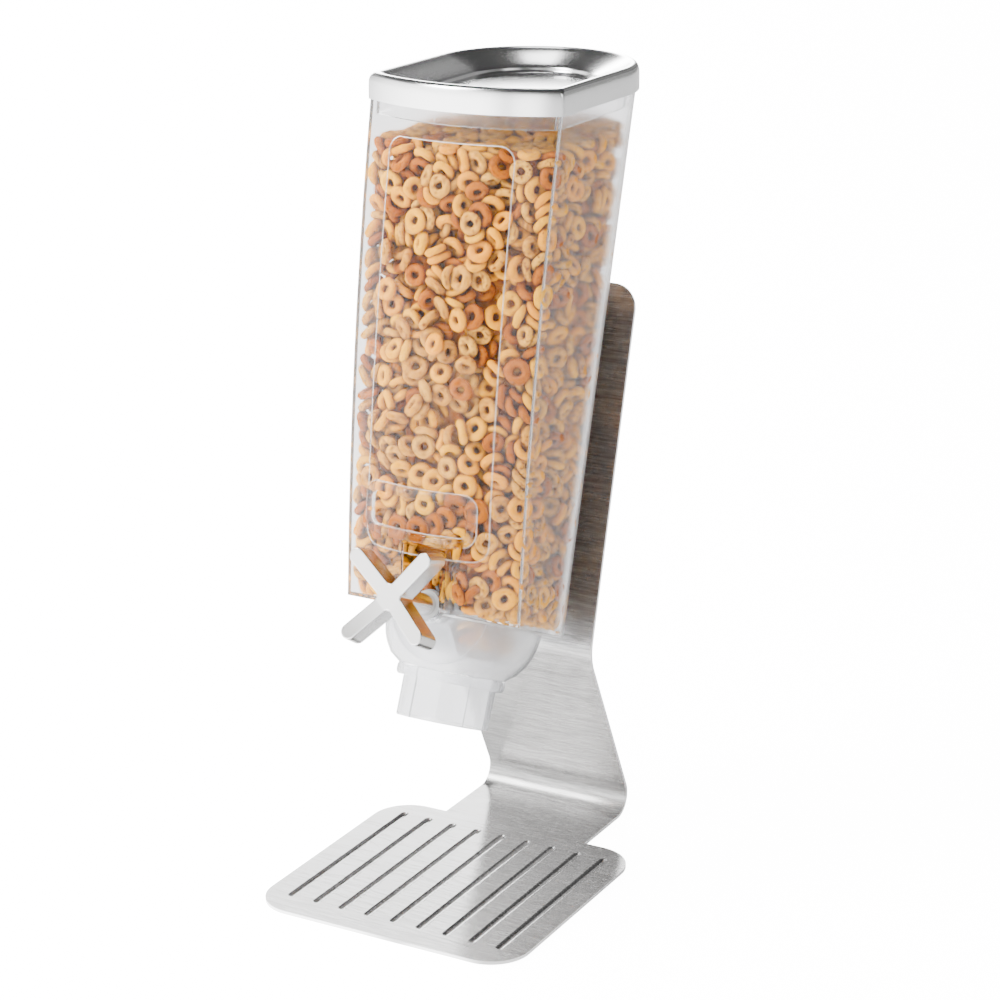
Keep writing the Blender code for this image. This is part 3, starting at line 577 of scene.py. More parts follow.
def lid_band_steel():
    """The lid's band, finely brushed round it."""
    nodes = Nodes("polished_steel_band")
    around = nodes.new("ShaderNodeTangent", direction_type="RADIAL", axis="Z").outputs[0]
    rings = nodes.noise(1.0, 3.0, (12, 12, 1800), 0.6)
    nodes.set(colour=nodes.mix(rings, (0.80,) * 3, (0.94,) * 3), metallic=1.0, tangent=around,
              roughness=nodes.spread(rings, 0.22, 0.28), anisotropic=0.8, turn=0.25)
    nodes.bump(rings, 0.05, 0.0002)
    return nodes.owner


def brushed_nickel():
    nodes = Nodes("brushed_nickel")
    grain = nodes.noise(1.0, 2.0, (900, 900, 900))
    clouds = nodes.noise(25.0, 1.0)
    nodes.set(colour=nodes.mix(grain, (0.68, 0.67, 0.655), (0.74, 0.73, 0.715)), metallic=1.0,
              roughness=nodes.spread(clouds, 0.20, 0.25))
    nodes.bump(grain, 0.02, 0.0001)
    return nodes.owner


def clear_plastic(name, roughness, veil, tint=(0.98, 0.98, 0.985)):
    """Moulded clear plastic; veil is the share of light that its haze scatters."""
    nodes = Nodes(name)
    ripple = nodes.noise(45.0, 2.0)
    nodes.set(colour=tint, roughness=roughness, transmission=1.0 - veil, ior=PLASTIC_IOR,
              specular=PLASTIC_SPECULAR)
    nodes.bump(ripple, 0.02, 0.001)
    nodes.let_lamps_through(tuple(channel * (1 - 0.5 * veil) for channel in tint))
    return nodes.owner


def side_plastic():
    """The sides and the round back outside: frosted, and hazier towards the back."""
    nodes = Nodes("clear_plastic_side")
    normal = nodes.split(nodes.new("ShaderNodeNewGeometry").outputs["Normal"])
    backward = nodes.spread(normal[1], 0.0, 1.0, 0.0, 0.9, "SMOOTHSTEP")
    frost = nodes.spread(backward, FROST_SIDE, FROST_BACK)
    nodes.set(colour=(0.95, 0.955, 0.97), ior=PLASTIC_IOR, specular=PLASTIC_SPECULAR,
              roughness=nodes.math("MULTIPLY_ADD", nodes.noise(2500.0, 1.0), FROST_GRAIN, frost),
              transmission=nodes.spread(backward, 0.985, 0.60))
    nodes.let_lamps_through((0.84, 0.80, 0.74))
    return nodes.owner


def front_plastic():
    """The front wall outside: clear inside its rounded window, finely frosted around it."""
    nodes = Nodes("clear_plastic_front")
    reach = (WINDOW_HALF[0] - WINDOW_CORNER, 0.0, WINDOW_HALF[1] - WINDOW_CORNER)
    offset = nodes.vector("SUBTRACT", nodes.place((1, 0, 1)), (WINDOW_MIDDLE[0], 0.0, WINDOW_MIDDLE[1]))
    past = nodes.vector("SUBTRACT", nodes.vector("ABSOLUTE", offset[0])[0], reach)
    outside = nodes.vector("MAXIMUM", past[0], (0.0, 0.0, 0.0))
    distance = nodes.math("SUBTRACT", nodes.vector("LENGTH", outside[0])["Value"], WINDOW_CORNER)
    frosted = nodes.spread(distance, 0.0, 1.0, -0.0002, 0.0002)
    grain = nodes.math("MULTIPLY", nodes.noise(2500.0, 1.0), FROST_GRAIN)
    frost = nodes.spread(frosted, 0.02, FROST_FRONT)
    nodes.set(colour=(0.98, 0.98, 0.985), ior=PLASTIC_IOR, specular=PLASTIC_SPECULAR,
              roughness=nodes.math("MULTIPLY_ADD", frosted, grain, frost),
              transmission=nodes.spread(frosted, 1.0, 0.985))
    nodes.let_lamps_through((0.94, 0.95, 0.965))
    return nodes.owner


def milky_plastic(name, transmission, roughness, ior=PLASTIC_IOR):
    nodes = Nodes(name)
    clouds = nodes.noise(60.0, 3.0)
    nodes.set(colour=nodes.mix(clouds, (0.96, 0.963, 0.975), (0.985, 0.985, 0.99)),
              roughness=nodes.spread(clouds, roughness - 0.04, roughness + 0.04),
              transmission=transmission, ior=ior)
    nodes.let_lamps_through((0.88, 0.89, 0.91))
    return nodes.owner


def soft_plastic(name, colour, roughness):
    nodes = Nodes(name)
    grain = nodes.noise(1200.0, 3.0)
    darker = tuple(channel * 0.9 for channel in colour)
    nodes.set(colour=nodes.mix(grain, darker, colour),
              roughness=nodes.spread(grain, roughness - 0.06, roughness + 0.06))
    nodes.bump(grain, 0.1, 0.0001)
    return nodes.owner


def cereal_material(name, pale, deep, speckle, speckle_share):
    """Toasted oat rings: each ring a little different, with pores and darker crumbs, and painted shade
    where other rings stand close.
    """
    nodes = Nodes(name)
    geometry = nodes.new("ShaderNodeNewGeometry")
    toast = nodes.math("MULTIPLY_ADD", geometry.outputs["Random Per Island"], 0.6,
                       nodes.math("MULTIPLY", nodes.noise(260.0, 3.0), 0.4))
    base = nodes.mix(toast, pale, deep)
    crumbs = nodes.noise(620.0, 2.0, roughness=0.7)
    spots = nodes.spread(crumbs, 0.0, 1.0, 1 - speckle_share - 0.06, 1 - speckle_share + 0.03)
    # Painted shade: ambient occlusion darkens the colour towards a dark copy of the deep colour between
    # close rings
    painted_shade_occlusion = nodes.new("ShaderNodeAmbientOcclusion", [("Distance", PAINTED_SHADE_REACH)], samples=4,
                        only_local=True)
    open_share = nodes.spread(painted_shade_occlusion.outputs["AO"], 0.0, 1.0, 0.28, 0.88)
    shaded = tuple(0.32 * channel for channel in deep)
    nodes.set(colour=nodes.mix(open_share, shaded, nodes.mix(spots, base, speckle)),
              roughness=0.8, specular=0.08)
    nodes.bump(nodes.noise(700.0, 3.0, roughness=0.65), 0.9, 0.0009)
    return nodes.owner


# Stand

def stand_outline():
    half = STRIP_WIDTH / 2
    back = PLATE_MIDDLE_Y + PLATE_DEPTH / 2
    front = PLATE_MIDDLE_Y - PLATE_DEPTH / 2
    plate = rounded_rectangle(PLATE_WIDTH / 2, front, back, PLATE_CORNER)
    quarter = len(plate) // 4
    return ([Vector((half, NECK_FLAT_END)), Vector((-half, NECK_FLAT_END)), Vector((-half, back))]
            + plate[quarter:] + plate[:quarter] + [Vector((half, back))])


def groove_cutters():
    radius = (GROOVE_WIDTH ** 2 / 4 + GROOVE_DEPTH ** 2) / (2 * GROOVE_DEPTH)
    height = PLATE_TOP - GROOVE_DEPTH + radius
    reach = radius - GROOVE_WIDTH / 2
    cutters = []
    for index in range(GROOVE_COUNT):
        middle = ((index - (GROOVE_COUNT - 1) / 2) * GROOVE_PITCH, height)
        profile = []
        for end, side in ((GROOVE_FRONT_Y - reach + radius, -1), (GROOVE_BACK_Y + reach - radius, 1)):
            steps = [math.radians(8 + 82 * step / 7) for step in range(8)]
            dome = [(radius * math.sin(a), end + side * radius * math.cos(a)) for a in steps]
            profile += dome if side < 0 else dome[::-1]
        cutters.append(cutter(turned(profile, middle=middle), Matrix.Identity(4)))
    return cutters


def mark_cut_edges(item):
    """The sheet's cut edges take the second material."""
    along = Vector((0.0, math.sin(STRIP_LEAN), math.cos(STRIP_LEAN)))
    for face in item.data.polygons:
        on_plate = face.center.z < PLATE_TOP + 0.0002 and face.center.y < NECK_FLAT_END
        if on_plate:
            face.material_index = int(abs(face.normal.z) < 0.3)
        else:
            at_top = face.center.z > STRIP_TOP[1] - 0.02 and abs(face.normal.dot(along)) > 0.3
            face.material_index = int(abs(face.normal.x) > 0.3 or at_top)


def make_stand(brushed, edge):
    outline = stand_outline()
    plate = loft([[(p.x, p.y, z) for p in outline] for z in (PLATE_TOP, PLATE_BOTTOM)])
    neck_face = max(plate.faces, key=lambda face: face.calc_center_median().y)
    ends = {(v.co.x > 0, v.co.z > (PLATE_TOP + PLATE_BOTTOM) / 2): v for v in neck_face.verts}
    plate.faces.remove(neck_face)
    row = [ends[False, True], ends[True, True], ends[True, False], ends[False, False]]
    path = bent_path([(NECK_PATH_START, PLATE_TOP), HEEL_BEND, KNEE_BEND, STRIP_TOP],
                     [HEEL_RADIUS, KNEE_RADIUS])
    half = STRIP_WIDTH / 2
    for point, normal in path:
        back = point + normal * SHEET
        ring = [(-half, *point), (half, *point), (half, *back), (-half, *back)]
        following = [plate.verts.new(place) for place in ring]
        bridge(plate, row, following)
        row = following
    plate.faces.new(row)
    corners = [line for line in plate.edges
               if all(vertex.co.z > STRIP_TOP[1] - 2 * SHEET for vertex in line.verts)
               and abs(line.verts[0].co.x - line.verts[1].co.x) < 0.0003]
    bmesh.ops.bevel(plate, geom=corners, offset=STRIP_CORNER, segments=14, profile=0.5,
                    affect="EDGES")
    stand = add_object("stand", plate, [brushed, edge])
    holes = [cutter(rod(SCREW_HOLE_RADIUS, (-0.01, 0.01), 28, middle=(x, SCREW_DROP)), STRIP)
             for x in SCREW_PLACES]
    combine(stand, groove_cutters() + holes, "DIFFERENCE")
    soften_edges(stand, 0.00025, 2, 40)
    mark_cut_edges(stand)
    place_piece(smooth(stand, 40), "stand", ["stand_sheet"])


# Hopper

def mark_hopper_faces(hopper):
    """Sort the outer faces: front wall, sides and round back, bright corners and rims."""
    for face in hopper.data.polygons:
        normal = face.normal
        if face.material_index == SIDE_FACE:
            at_corner = abs(normal.x) > 0.55 and normal.y < -0.02
            if at_corner or normal.z < -0.5 or face.area < 1.5e-6:
                face.material_index = EDGE_FACE
            elif normal.y < -0.6 and face.center.z > 0.19:
                face.material_index = FRONT_FACE


def make_hopper(front, side, inner, edge):
    """Walls frosted outside and smooth inside, tilted floor, notch for the knob and two bosses."""
    hopper = add_object("hopper_shell", hopper_loft(0.0, FLOOR_BOTTOM, HOPPER_TOP),
                        [front, side, inner, edge], slot=SIDE_FACE)
    inside = cutter(hopper_loft(WALL, FLOOR_TOP, HOPPER_TOP + 0.01), Matrix.Identity(4), INNER_FACE)
    reach = NOTCH_HALF + NOTCH_WALL
    liner = box((-reach, -0.03, -0.01), (reach, FRONT_BOSS[0] + NOTCH_WALL, NOTCH_TOP + NOTCH_WALL))
    bosses = [rod(BOSS_RADIUS, span) for span in (FRONT_BOSS, REAR_BOSS)]
    spares = [boss.copy() for boss in bosses]
    combine(inside, [cutter(solid, slot=INNER_FACE) for solid in [liner] + spares], "DIFFERENCE")
    combine(hopper, [cutter(solid, slot=INNER_FACE) for solid in bosses], "UNION")
    notch = box((-NOTCH_HALF, -0.04, -0.02), (NOTCH_HALF, FRONT_BOSS[0], NOTCH_TOP))
    opening = box((-CHAMBER_RADIUS, WHEEL_SPAN[0], -0.01), (CHAMBER_RADIUS, WHEEL_SPAN[1], 0.01))
    bores = [rod(BUSHING_RADIUS, (start - BORE_REACH, end + BORE_REACH))
             for start, end in (FRONT_BOSS, REAR_BOSS)]
    cutters = [cutter(solid, slot=INNER_FACE) for solid in [notch, opening] + bores]
    combine(hopper, [inside] + cutters, "DIFFERENCE")
    soften_edges(hopper, 0.0003, 2, 50)
    mark_hopper_faces(hopper)
    place_piece(smooth(hopper), "hopper", ["hopper"])


def wall_frame(centre, half, corner, rise, segments=10, along=14):
    """Points of a rounded rectangle on the front wall, raised out of it."""
    outline = rounded_rectangle(half[0], -half[1], half[1], corner, segments)
    points = []
    for index, (start, end) in enumerate(zip(outline, outline[1:] + outline[:1])):
        steps = along if index % (segments + 1) == segments else 1
        for step in range(steps):
            flat = start.lerp(end, step / steps)
            x, z = centre[0] + flat.x, centre[1] + flat.y
            points.append(Vector((x, front_wall_y(x, z) - rise, z)))
    return points


def make_front_line(name, centre, half, corner, material):
    """A fine raised line, round the window or along an edge of the label holder."""
    profile = ((1.0, -0.8), (0.8, 0.5), (0.0, 1.0), (-0.8, 0.5), (-1.0, -0.8))
    rings = [wall_frame(centre, (half[0] + side * LINE_HALF, half[1] + side * LINE_HALF),
                        corner + side * LINE_HALF, rise * LINE_RISE)
             for side, rise in profile]
    line = add_object(name, loft(rings, loop=True), [material])
    place_piece(smooth(line, 60), "hopper")


def holder_outline(inset):
    """Half sizes and corner of the label holder's frame, moved inwards."""
    half_width, half_height = HOLDER_HALF
    return (half_width - inset, half_height - inset), HOLDER_CORNER - inset * HOLDER_TIGHTENING


def make_front_marks(line_material, clear):
    """The window's line and the raised frame that holds a label, with its two bright edges."""
    make_front_line("hopper_window_line", WINDOW_MIDDLE, WINDOW_HALF, WINDOW_CORNER, line_material)
    profile = rounded_off([(0.0, -LINE_SINK), (0.0, HOLDER_RISE), (HOLDER_BAND, HOLDER_RISE),
                           (HOLDER_BAND, -LINE_SINK)])
    rings = [wall_frame(HOLDER_MIDDLE, *holder_outline(inset), rise) for inset, rise in profile]
    holder = add_object("hopper_label_holder", loft(rings, loop=True), [clear])
    place_piece(smooth(holder, 60), "hopper")
    for name, inset in (("hopper_holder_outer_line", -LINE_HALF),
                        ("hopper_holder_inner_line", HOLDER_BAND + LINE_HALF)):
        make_front_line(name, HOLDER_MIDDLE, *holder_outline(inset), line_material)


# Funnel, spout and knob

def superellipse(half_width, half_depth, middle, height):
    """A ring between an ellipse and a rectangle."""
    points = []
    for index in range(FUNNEL_SIDES):
        angle = math.tau * index / FUNNEL_SIDES
        c, s = math.cos(angle), math.sin(angle)
        scale = (abs(c) ** FUNNEL_POWER + abs(s) ** FUNNEL_POWER) ** (-1 / FUNNEL_POWER)
        points.append((half_width * scale * c, middle + half_depth * scale * s, height))
    return points


def make_funnel(milky):
    """The round-shouldered funnel and its rolled collar."""
    shoulder = rounded_off(FUNNEL_RINGS)
    rings = [superellipse(width, depth, middle, height) for height, width, depth, middle in shoulder]
    collar = rounded_off([(COLLAR_RADIUS - 0.0006, COLLAR[0]), (COLLAR_RADIUS, COLLAR[0] - 0.0015),
                          (COLLAR_RADIUS, COLLAR[1] + 0.0012), (COLLAR_RADIUS - 0.0012, COLLAR[1])])
    collar += [(COLLAR_BORE, COLLAR[1]), (COLLAR_BORE, COLLAR[0] - 0.001)]
    rings += [circle(radius, height, FUNNEL_SIDES, "Z", (0.0, SPOUT_MIDDLE)) for radius, height in collar]
    rings += [superellipse(width - FUNNEL_WALL, depth - FUNNEL_WALL, middle, height)
              for height, width, depth, middle in reversed(shoulder)]
    funnel = add_object("funnel", loft(rings, loop=True), [milky], MECHANISM)
    boss_way = cutter(rod(BOSS_RADIUS + CLEARANCE, (-0.01, FRONT_BOSS[1] + CLEARANCE)))
    combine(funnel, [boss_way], "DIFFERENCE")
    place_piece(smooth(funnel, 50, False), "hopper", ["funnel_housing"])


def faceted(radius, height, facets=10, softness=6):
    """A regular polygon with softened corners, round the spout's axis."""
    points = []
    for index in range(facets * softness):
        angle = math.tau * index / (facets * softness)
        from_flat = (angle % (math.tau / facets)) - math.pi / facets
        reach = min(radius * math.cos(math.pi / facets) / math.cos(from_flat), radius * 0.992)
        points.append((reach * math.cos(angle), SPOUT_MIDDLE + reach * math.sin(angle), height))
    return points


def make_spout(milky):
    """The pull-out spout: a faceted sleeve, its flats standing clear of the round collar."""
    outer, inner = SPOUT_RADIUS, SPOUT_RADIUS - SPOUT_WALL
    profile = [(outer, SPOUT[0]), (outer, SPOUT[1] + 0.0008), (outer - 0.0006, SPOUT[1]),
               (inner + 0.0003, SPOUT[1]), (inner, SPOUT[1] + 0.0005), (inner, SPOUT[0])]
    rings = [faceted(radius, height) for radius, height in profile]
    spout = add_object("spout", loft(rings, loop=True), [milky], MECHANISM)
    place_piece(smooth(spout, 12, False), "spout", ["spout_insert"])


def knob_outline(depth):
    half, fillet = KNOB_ARM_HALF, KNOB_FILLET
    root = half + fillet
    groups = []
    for arm in range(4):
        turn = Matrix.Rotation(KNOB_TURN + arm * math.pi / 2, 3, "Y").inverted()
        tip = arc((KNOB_TIP, 0.0), half, -math.pi / 2, math.pi / 2, 18)
        swept = []
        for point in [Vector((root, -half))] + tip + [Vector((root, half))]:
            reach = point.x - root
            along = root + reach * math.cos(KNOB_SWEEP)
            if reach > 0:
                along += depth * math.sin(KNOB_SWEEP)
            forward = reach * math.sin(KNOB_SWEEP)
            swept.append(turn @ Vector((along, KNOB_FRONT + depth - forward, point.y)))
        notch = arc((root, root), fillet, -math.pi / 2, -math.pi, 8)[1:-1]
        groups.append((swept, [turn @ Vector((p.x, KNOB_FRONT + depth, p.y)) for p in notch]))
    return groups


def make_knob(metal):
    """A cross of four arms swept forward, with softened edges, on a round hub."""
    solid = bmesh.new()
    rims = []
    for depth in (0.0, KNOB_DEPTH):
        arms = [([solid.verts.new(p) for p in swept], [solid.verts.new(p) for p in notch])
                for swept, notch in knob_outline(depth)]
        centre = []
        rim = []
        for swept, notch in arms:
            solid.faces.new(swept)
            centre += [swept[0], swept[-1]] + notch
            rim += swept + notch
        solid.faces.new(centre)
        rims.append(rim)
    bridge(solid, *rims)
    knob = add_object("knob_cross", solid, [metal], MECHANISM)
    soften_edges(knob, 0.0008, 4, 50)
    hub = rod(KNOB_HUB_RADIUS, (KNOB_FRONT + KNOB_DEPTH / 2, KNOB_HUB_END))
    combine(knob, [cutter(hub)], "UNION")
    bore = rod(KNOB_BORE_RADIUS, (KNOB_BORE_START, KNOB_HUB_END + 0.01))
    screw_way = rod(SET_SCREW_RADIUS, (-0.02, 0.0), 24, "Z", (0.0, SET_SCREW_Y))
    combine(knob, [cutter(bore), cutter(screw_way)], "DIFFERENCE")
    place_piece(smooth(knob, 40), "wheel", ["knob"])


# Lid

def lid_outline(inset, height):
    front = level_ring(0.0, LID_BOTTOM)[0].y - LID_OVERHANG
    back = max(point.y for point in level_ring(0.0, HOPPER_TOP)) + LID_OVERHANG
    outline = inset_outline(front + FRONT_BOW, HALF_WIDTHS[1] + LID_OVERHANG, back, inset,
                            LID_CORNER + inset * LID_CORNER_GROWTH, 20, 10, 40)
    return [(p.x, p.y, height) for p in outline]


def make_lid(steel, band):
    """Pressed lid: satin band, rolled crest, sloping rim, ledge and sunk floor."""
    section = rounded_off(LID_SECTION)
    back = []
    for index, point in enumerate(section):
        before = section[max(index - 1, 0)]
        after = section[min(index + 1, len(section) - 1)]
        run = (after - before).normalized()
        back.append(point + Vector((-run.y, run.x)) * LID_SHEET)
    rings = [lid_outline(inset, height) for inset, height in section + back[::-1]]
    lid = add_object("lid_pressing", loft(rings), [steel, band])
    for face in lid.data.polygons:
        face.material_index = int(abs(face.normal.z) < 0.5 and face.center.z < CREST_Z)
    place_piece(smooth(lid, 45), "lid", ["lid_shell"])


# Cereal

def wall_rooms(points, inset):
    """Each point's distance inside the front and the side walls, and the ways back in."""
    half, corner, round_y, bulge = hopper_at(points[:, 2])
    bow_y = corner - bulge + np.sqrt(FRONT_BOW ** 2 - half ** 2)
    x, y = points[:, 0], points[:, 1]
    front = np.stack([x, y - bow_y], 1)
    side = np.stack([x, np.maximum(y - round_y, 0.0)], 1)
    front_length = np.linalg.norm(front, axis=1)
    side_length = np.maximum(np.linalg.norm(side, axis=1), 1e-9)
    rooms = (FRONT_BOW - inset - front_length, half - inset - side_length)
    return rooms, (-front / front_length[:, None], -side / side_length[:, None])


def nearest_wall(rooms, ways):
    return np.minimum(*rooms), np.where((rooms[0] < rooms[1])[:, None], *ways)


def moved(points, matrix):
    rows = np.array(matrix)
    return points @ rows[:3, :3].T + rows[:3, 3]


def keep_inside(points, margin):
    """Push bead centres off the walls, the floor, the liner, the wheel and the hidden core."""
    rooms, ways = wall_rooms(points, WALL + margin)
    for room, way in zip(rooms, ways):
        points[:, :2] += way * np.maximum(-room, 0)[:, None]
    room, inward = nearest_wall(rooms, ways)
    too_deep = np.maximum(room - RING_LAYER, 0) * (points[:, 2] < CEREAL_TOP - RING_LAYER)
    points[:, :2] -= inward * too_deep[:, None] * 0.5
    across, along = points[:, 0] / HEAP_HALF[0], (points[:, 1] - HEAP_MIDDLE_Y) / HEAP_HALF[1]
    points[:, 2] = np.minimum(points[:, 2], CEREAL_TOP - HEAP_DROP * np.hypot(across, along) - margin)
    near = moved(points, MECHANISM.inverted())
    near[:, 2] = np.maximum(near[:, 2], margin)
    in_liner = ((np.abs(near[:, 0]) < NOTCH_HALF + NOTCH_WALL + margin)
                & (near[:, 1] < FRONT_BOSS[0] + NOTCH_WALL + margin)
                & (near[:, 2] < NOTCH_TOP + NOTCH_WALL + margin))
    near[in_liner, 2] = NOTCH_TOP + NOTCH_WALL + margin
    on_wheel = ((near[:, 1] > WHEEL_SPAN[0] - margin) & (near[:, 1] < WHEEL_SPAN[1] + margin))
    reach = np.where(on_wheel, CHAMBER_RADIUS, BOSS_RADIUS) + margin
    radius = np.maximum(np.hypot(near[:, 0], near[:, 2]), 1e-6)
    push = np.maximum(reach / radius, 1.0)
    near[:, 0] *= push
    near[:, 2] *= push
    points[:] = moved(near, MECHANISM)


def close_pairs(points, reach):
    """Index pairs of points in the same or neighbouring cells of a grid."""
    cells = np.floor(points / reach).astype(np.int64)
    cells -= cells.min(0) - 1
    size = cells.max(0) + 2
    keys = (cells[:, 0] * size[1] + cells[:, 1]) * size[2] + cells[:, 2]
    order = np.argsort(keys, kind="stable")
    keys = keys[order]
    everyone = np.arange(len(keys))
    firsts, seconds = [], []
    shifts = [(dx * size[1] + dy) * size[2] + dz
              for dx in (-1, 0, 1) for dy in (-1, 0, 1) for dz in (-1, 0, 1)]
    for shift in sorted(shift for shift in shifts if shift >= 0):
        low = everyone + 1 if shift == 0 else np.searchsorted(keys, keys + shift, "left")
        high = np.searchsorted(keys, keys + shift, "right")
        counts = np.maximum(high - low, 0)
        first = np.repeat(everyone, counts)
        offset = np.arange(len(first)) - np.repeat(np.cumsum(counts) - counts, counts)
        firsts.append(order[first])
        seconds.append(order[np.repeat(low, counts) + offset])
    return np.concatenate(firsts), np.concatenate(seconds)


def edge_rings(random):
    """Ring centres up the front corners and over the floor, where scattered ones seldom reach."""
    centres = []
    for height in np.arange(0.190, CEREAL_TOP - 0.006, CORNER_STEP):
        half = hopper_at(height)[0]
        front = front_wall_y(half - WALL, height)
        centres += [(side * (half - CORNER_INSET[0]), front + CORNER_INSET[1], height)
                    for side in (-1, 1)]
    low = moved(random.uniform(*FLOOR_BED, (FLOOR_RINGS * 3, 3)), MECHANISM)
    room, _ = nearest_wall(*wall_rooms(low, WALL + 0.003))
    return np.concatenate([centres, low[room > 0][:FLOOR_RINGS]])


def scatter_rings(random):
    """Rings near the walls and the top before they settle: centres, turns and sizes."""
    centres = np.empty((0, 3))
    while len(centres) < RING_COUNT:
        trial = random.uniform(SCATTER_LOW, SCATTER_HIGH, (4 * RING_COUNT, 3))
        room, _ = nearest_wall(*wall_rooms(trial, WALL + 0.004))
        height = moved(trial, MECHANISM.inverted())[:, 2]
        outer = (room < RING_LAYER) | (trial[:, 2] > CEREAL_TOP - RING_LAYER)
        centres = np.concatenate([centres, trial[(room > 0) & (height > 0.004) & outer]])
    centres = np.concatenate([edge_rings(random), centres])[:RING_COUNT]
    _, inward = nearest_wall(*wall_rooms(centres, WALL))
    axes = random.normal(size=(RING_COUNT, 3, 3))
    axes[:, :2, 2] += inward * FACE_ON
    turns = np.linalg.qr(axes[:, :, ::-1])[0][:, :, ::-1]
    return centres, turns, random.uniform(0.90, 1.07, RING_COUNT)


def push_apart(points, owner, sizes, grown):
    """Move touching beads of different rings apart."""
    first, second = close_pairs(points, 2 * RING_TUBE * 1.02 * grown)
    apart = owner[first] != owner[second]
    first, second = first[apart], second[apart]
    gap = points[first] - points[second]
    length = np.maximum(np.linalg.norm(gap, axis=1), 1e-7)
    wanted = RING_TUBE * TIGHTNESS * grown * (sizes[owner[first]] + sizes[owner[second]])
    touching = length < wanted
    first, second, gap, length = (a[touching] for a in (first, second, gap, length))
    shove = gap / length[:, None] * ((wanted[touching] - length) * 0.5)[:, None]
    for axis in range(3):
        points[:, axis] += np.bincount(first, shove[:, axis], len(points)) * SHOVE
        points[:, axis] -= np.bincount(second, shove[:, axis], len(points)) * SHOVE


def pack_rings(random):
    """Settle rigid rings, each a wreath of beads, until they fill the hopper without overlap."""
    around = np.arange(BEADS) * math.tau / BEADS
    wreath = np.stack([np.cos(around), np.sin(around), np.zeros(BEADS)], 1) * RING_MIDDLE
    centres, turns, sizes = scatter_rings(random)
    owner = np.repeat(np.arange(RING_COUNT), BEADS)
    for step in range(PACKING_ROUNDS):
        grown = min(1.0, 0.35 + 0.65 * step / (0.75 * PACKING_ROUNDS))
        shape = wreath[None] * sizes[:, None, None] * grown
        points = (np.einsum("nij,nbj->nbi", turns, shape) + centres[:, None]).reshape(-1, 3)
        push_apart(points, owner, sizes, grown)
        keep_inside(points, 0.85 * RING_TUBE * grown)
        points = points.reshape(RING_COUNT, BEADS, 3)
        centres = points.mean(1)
        spread = np.einsum("nbi,nbj->nij", points - centres[:, None], shape)
        left, _, right = np.linalg.svd(spread)
        flip = np.sign(np.linalg.det(left @ right))
        left[:, :, 2] *= flip[:, None]
        turns = left @ right
    return centres, turns, sizes


def ring_point(variant, angle, turn):
    """A point on one of the lumpy, slightly flattened rings."""
    c, s = math.cos(angle), math.sin(angle)
    tube = RING_TUBE * (1.04 + 0.24 * noise.noise(Vector((c * 1.1, s * 1.1, variant * 3.7))))
    middle = RING_MIDDLE * (1 + 0.10 * noise.noise(Vector((c, variant * 5.1, s))))
    away = middle + tube * math.cos(turn)
    return away * c, away * s * (0.93 + 0.02 * variant), tube * 0.93 * math.sin(turn)


def ring_shapes():
    """A few rings to choose from, and the faces that they share."""
    grid = [(i, j) for i in range(RING_AROUND) for j in range(RING_ACROSS)]
    shapes = [np.array([ring_point(variant, math.tau * i / RING_AROUND, math.tau * j / RING_ACROSS)
                        for i, j in grid]) for variant in range(RING_VARIANTS)]
    corners = ((0, 0), (1, 0), (1, 1), (0, 1))
    faces = [[(i + di) % RING_AROUND * RING_ACROSS + (j + dj) % RING_ACROSS for di, dj in corners]
             for i, j in grid]
    return shapes, np.array(faces)


def join_rings(name, centres, turns, sizes, random, materials, body):
    shapes, faces = ring_shapes()
    picks = random.integers(0, len(shapes), len(centres))
    kinds = random.choice(len(materials), len(centres), p=CEREAL_SHARES)
    points = [(shapes[pick] * size) @ turn.T + centre
              for pick, size, turn, centre in zip(picks, sizes, turns, centres)]
    firsts = np.arange(len(centres)) * len(shapes[0])
    quads = (faces[None] + firsts[:, None, None]).reshape(-1, 4)
    mesh = bpy.data.meshes.new(name)
    mesh.from_pydata(np.concatenate(points).tolist(), [], quads.tolist())
    item = link_object(name, mesh, materials)
    mesh.polygons.foreach_set("material_index", np.repeat(kinds, len(faces)).astype(np.int32))
    mesh.shade_smooth()
    place_piece(item, body)


def make_cereal_core(material):
    """The mass of cereal behind the outer layers, lumpy like their backs, in cereal colours darkened as
    painted shade.
    """
    rings = [level_ring(WALL + CORE_DEPTH, height) for height in CORE_LEVELS]
    core = add_object("cereal_core", loft(rings), [material])
    for vertex in core.data.vertices:
        lump = noise.noise(vertex.co * 130)
        vertex.co += Vector((vertex.co.x, vertex.co.y - 0.02, 0)).normalized() * lump * CORE_LUMPS
    place_piece(smooth(core, 180), "hopper")


def make_portions(materials):
    """Rings lying in the wheel's upper pockets, between its vanes."""
    random = np.random.default_rng(SEED + 1)
    centres = []
    for pocket in PORTION_POCKETS:
        for along in PORTION_ALONG:
            for reach, lean in PORTION_ROWS:
                turn = math.tau * pocket / 6 + lean
                place = Vector((reach * math.cos(turn), along + 0.004 * lean, reach * math.sin(turn)))
                centres.append(MECHANISM @ place)
    turns = np.linalg.qr(random.normal(size=(len(centres), 3, 3)))[0]
    sizes = random.uniform(0.78, 0.86, len(centres))
    join_rings("cereal_portions", np.array(centres), turns, sizes, random, materials, "wheel")


def make_cereal(materials, painted_shade_core_material):
    random = np.random.default_rng(SEED)
    join_rings("cereal_rings", *pack_rings(random), random, materials, "hopper")
    make_cereal_core(painted_shade_core_material)
    make_portions(materials)


# Scene

def make_camera():
    data = bpy.data.cameras.new("camera")
    data.lens = LENS
    data.sensor_width = 36.0
    data.clip_end = 60.0
    camera = link_object("camera", data)
    camera.location = EYE
    camera.rotation_euler = (math.pi / 2 - LOOK_DOWN, 0.0, LOOK_ACROSS)
    bpy.context.scene.camera = camera


def studio_light(nodes, direction):
    """Light along the horizon by compass direction; gives its socket, the compass and the height."""
    x, y, height = nodes.split(direction)
    angle = nodes.math("ARCTAN2", x, nodes.math("MULTIPLY", y, -1.0))
    compass = nodes.math("MULTIPLY_ADD", angle, 1 / math.tau, 0.5)
    return nodes.ramp(compass, COMPASS_LIGHT), compass, height


